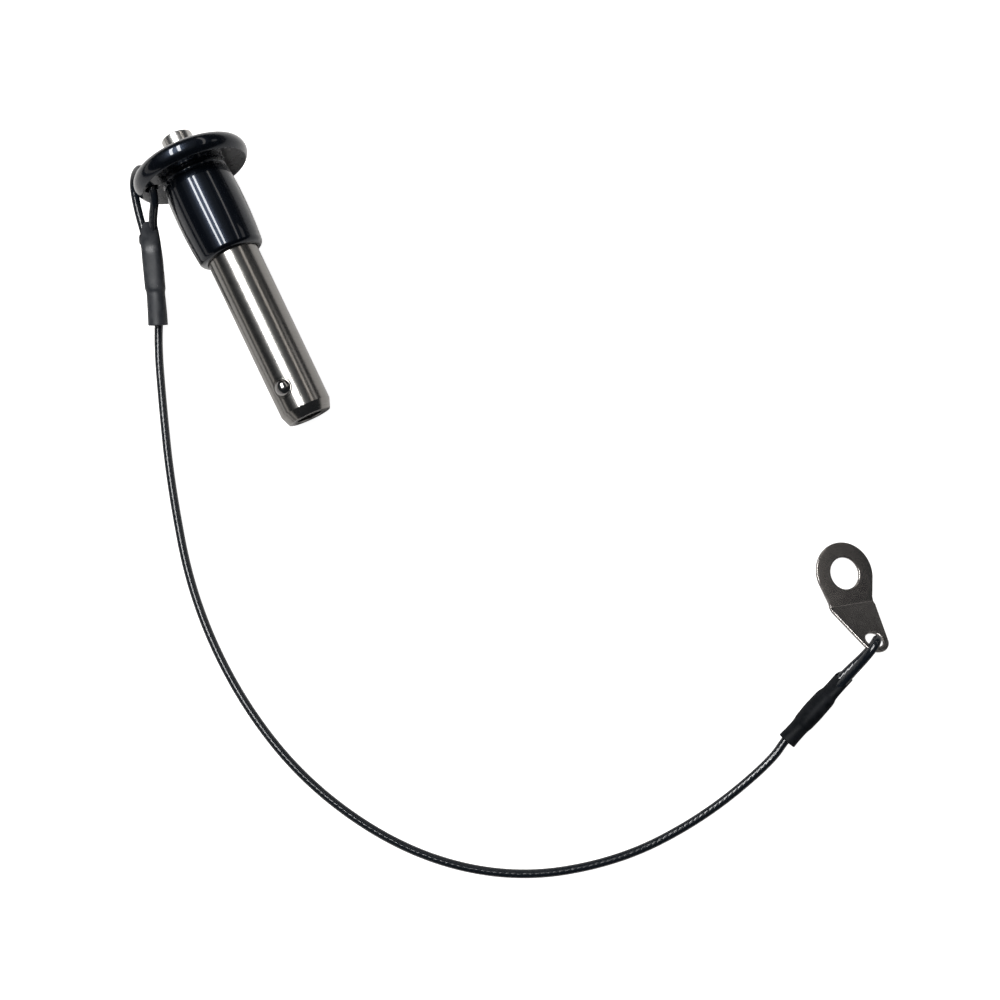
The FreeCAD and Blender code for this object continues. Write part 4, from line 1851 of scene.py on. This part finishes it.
def build_sleeves(effects: Effects) -> list[bpy.types.Object]:
    """Build both shrink sleeves.

    Args:
        effects: The shared effects.

    Returns:
        The two sleeves.
    """
    at_handle = ShrinkSleeve(
        name="handle_tubing",
        node="handle_shrink_sleeve",
        place=SleeveAxes((-1.3, -24.5, 2.35), (-21.4, -15.65, 9.8), 0.0, -1.0).place(),
        rings=(
            SleeveRing(0.0, 2.42, 2.28),
            SleeveRing(0.35, 2.38, 2.2),
            SleeveRing(2.6, 2.38, 2.05, shift=-0.08),
            SleeveRing(5.2, 2.3, 1.96, shift=-0.12),
            SleeveRing(7.6, 2.24, 1.84, shift=-0.12),
            SleeveRing(8.3, 2.28, 1.8, shift=-0.12),
            SleeveRing(8.8, 2.5, 1.98, 0.0, 2.3, -0.1),
            SleeveRing(10.6, 2.45, 1.94, 0.04, 2.4, -0.08),
            SleeveRing(12.0, 2.5, 1.92, 0.06, 2.4, -0.08),
            SleeveRing(13.4, 2.45, 1.94, 0.06, 2.4, -0.06),
            SleeveRing(15.0, 2.5, 1.94, 0.06, 2.4, -0.06),
            SleeveRing(16.6, 2.45, 1.96, 0.05, 2.4, -0.04),
            SleeveRing(18.0, 2.48, 1.95, 0.04, 2.3, 0.0),
            SleeveRing(18.8, 2.46, 1.58, 0.08, 2.0, 0.04),
            SleeveRing(19.8, 2.5, 1.52, 0.1, 2.0, 0.08, 0.05, 3.0),
            SleeveRing(22.0, 2.66, 1.52, 0.12, 2.0, 0.18, 0.35, 15.0),
            SleeveRing(24.5, 2.9, 1.56, 0.12, 2.0, 0.26, 0.9, 31.0),
            SleeveRing(24.9, 2.92, 1.57, 0.12, 2.0, 0.26, 0.95, 32.0),
        ),
        slant=4.6,
        seed=3.0,
    )
    at_tab = ShrinkSleeve(
        name="tab_tubing",
        node="tab_shrink_sleeve",
        place=SleeveAxes((156.09, 68.61, 2.35), (148.35, 86.85, 6.2), 65.0, 1.0).place(),
        rings=(
            SleeveRing(0.0, 2.28, 2.22),
            SleeveRing(0.35, 2.24, 2.16),
            SleeveRing(1.8, 2.2, 2.04),
            SleeveRing(3.8, 2.24, 1.94),
            SleeveRing(5.2, 2.36, 1.92),
            SleeveRing(5.8, 2.6, 2.0, 0.0, 2.2),
            SleeveRing(7.6, 2.6, 2.12, 0.02, 2.2),
            SleeveRing(9.2, 2.68, 2.2, 0.02, 2.2),
            SleeveRing(10.8, 2.6, 2.12, 0.03, 2.2),
            SleeveRing(12.4, 2.64, 2.1, 0.03, 2.2),
            SleeveRing(14.0, 2.56, 2.0, 0.04, 2.2),
            SleeveRing(14.6, 2.5, 1.62, 0.06),
            SleeveRing(15.6, 2.46, 1.46, 0.1),
            SleeveRing(18.4, 2.47, 1.44, 0.12),
            SleeveRing(20.6, 2.49, 1.47, 0.12),
            SleeveRing(21.0, 2.5, 1.48, 0.12),
        ),
        slant=3.0,
        slant_turn=90.0,
        seed=11.0,
    )
    charcoal = ShrunkTubing().make(effects)
    # The tab's sleeve is the same tubing as the handle's; this darker, less glossy copy is painted shade, for its
    # place further from the lights.
    black = ShrunkTubing(
        (0.004, 0.005, 0.006), (0.009, 0.010, 0.012), 0.06, "shaded_shrink_tubing"
    ).make(effects)
    return [at_handle.build(charcoal), at_tab.build(black)]


def main() -> None:
    """Build and dress the pin, its lanyard and its tab, piece by piece."""
    logging.basicConfig(level=logging.INFO, format="%(message)s")
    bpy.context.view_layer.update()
    studio = Studio()
    studio.camera()
    studio.table()
    studio.lights()

    effects = Effects()
    pin = PinAxes().place()
    ferrule_metal = PlainMetal("crimped_aluminium", (0.6, 0.6, 0.6), 0.4).make(effects)
    for node in ("handle_ferrule", "tab_ferrule"):
        dress_node(node, ferrule_metal)
    sleeves = build_sleeves(effects)
    tab = FixingTab().build(SheetSteel().make(effects))
    carried = sleeves + [tab, frame["nodes"]["handle_ferrule"], frame["nodes"]["tab_ferrule"]]
    LanyardCable().build(CableCoat().make(effects), carried)

    Handle().build(pin, BlackAnodising().make(effects, pin))
    shank_steel = TurnedSteel(
        "ground_shank_steel", (0.32, 0.31, 0.295), 0.20, 11.0, 0.0010, StakedRingAndShade()
    )
    Shank().build(pin, shank_steel.make(effects, pin))
    button_steel = TurnedSteel("satin_button_steel", (0.60, 0.59, 0.57), 0.24, 8.0)
    PushButton().build(pin, button_steel.make(effects, pin))
    ball_steel = MirrorSteel().make(effects)
    LockingBall("ball_upper", Body.UPPER_BALL).build(ball_steel)
    LockingBall("ball_lower", Body.LOWER_BALL).build(ball_steel)
    spindle_steel = TurnedSteel("spindle_steel", (0.50, 0.49, 0.47), 0.22, 7.0)
    dress_node("spindle", spindle_steel.make(effects, pin))
    dress_node("return_spring", PlainMetal("spring_wire", (0.45, 0.45, 0.45), 0.3).make(effects))


if __name__ == "__main__":
    main()
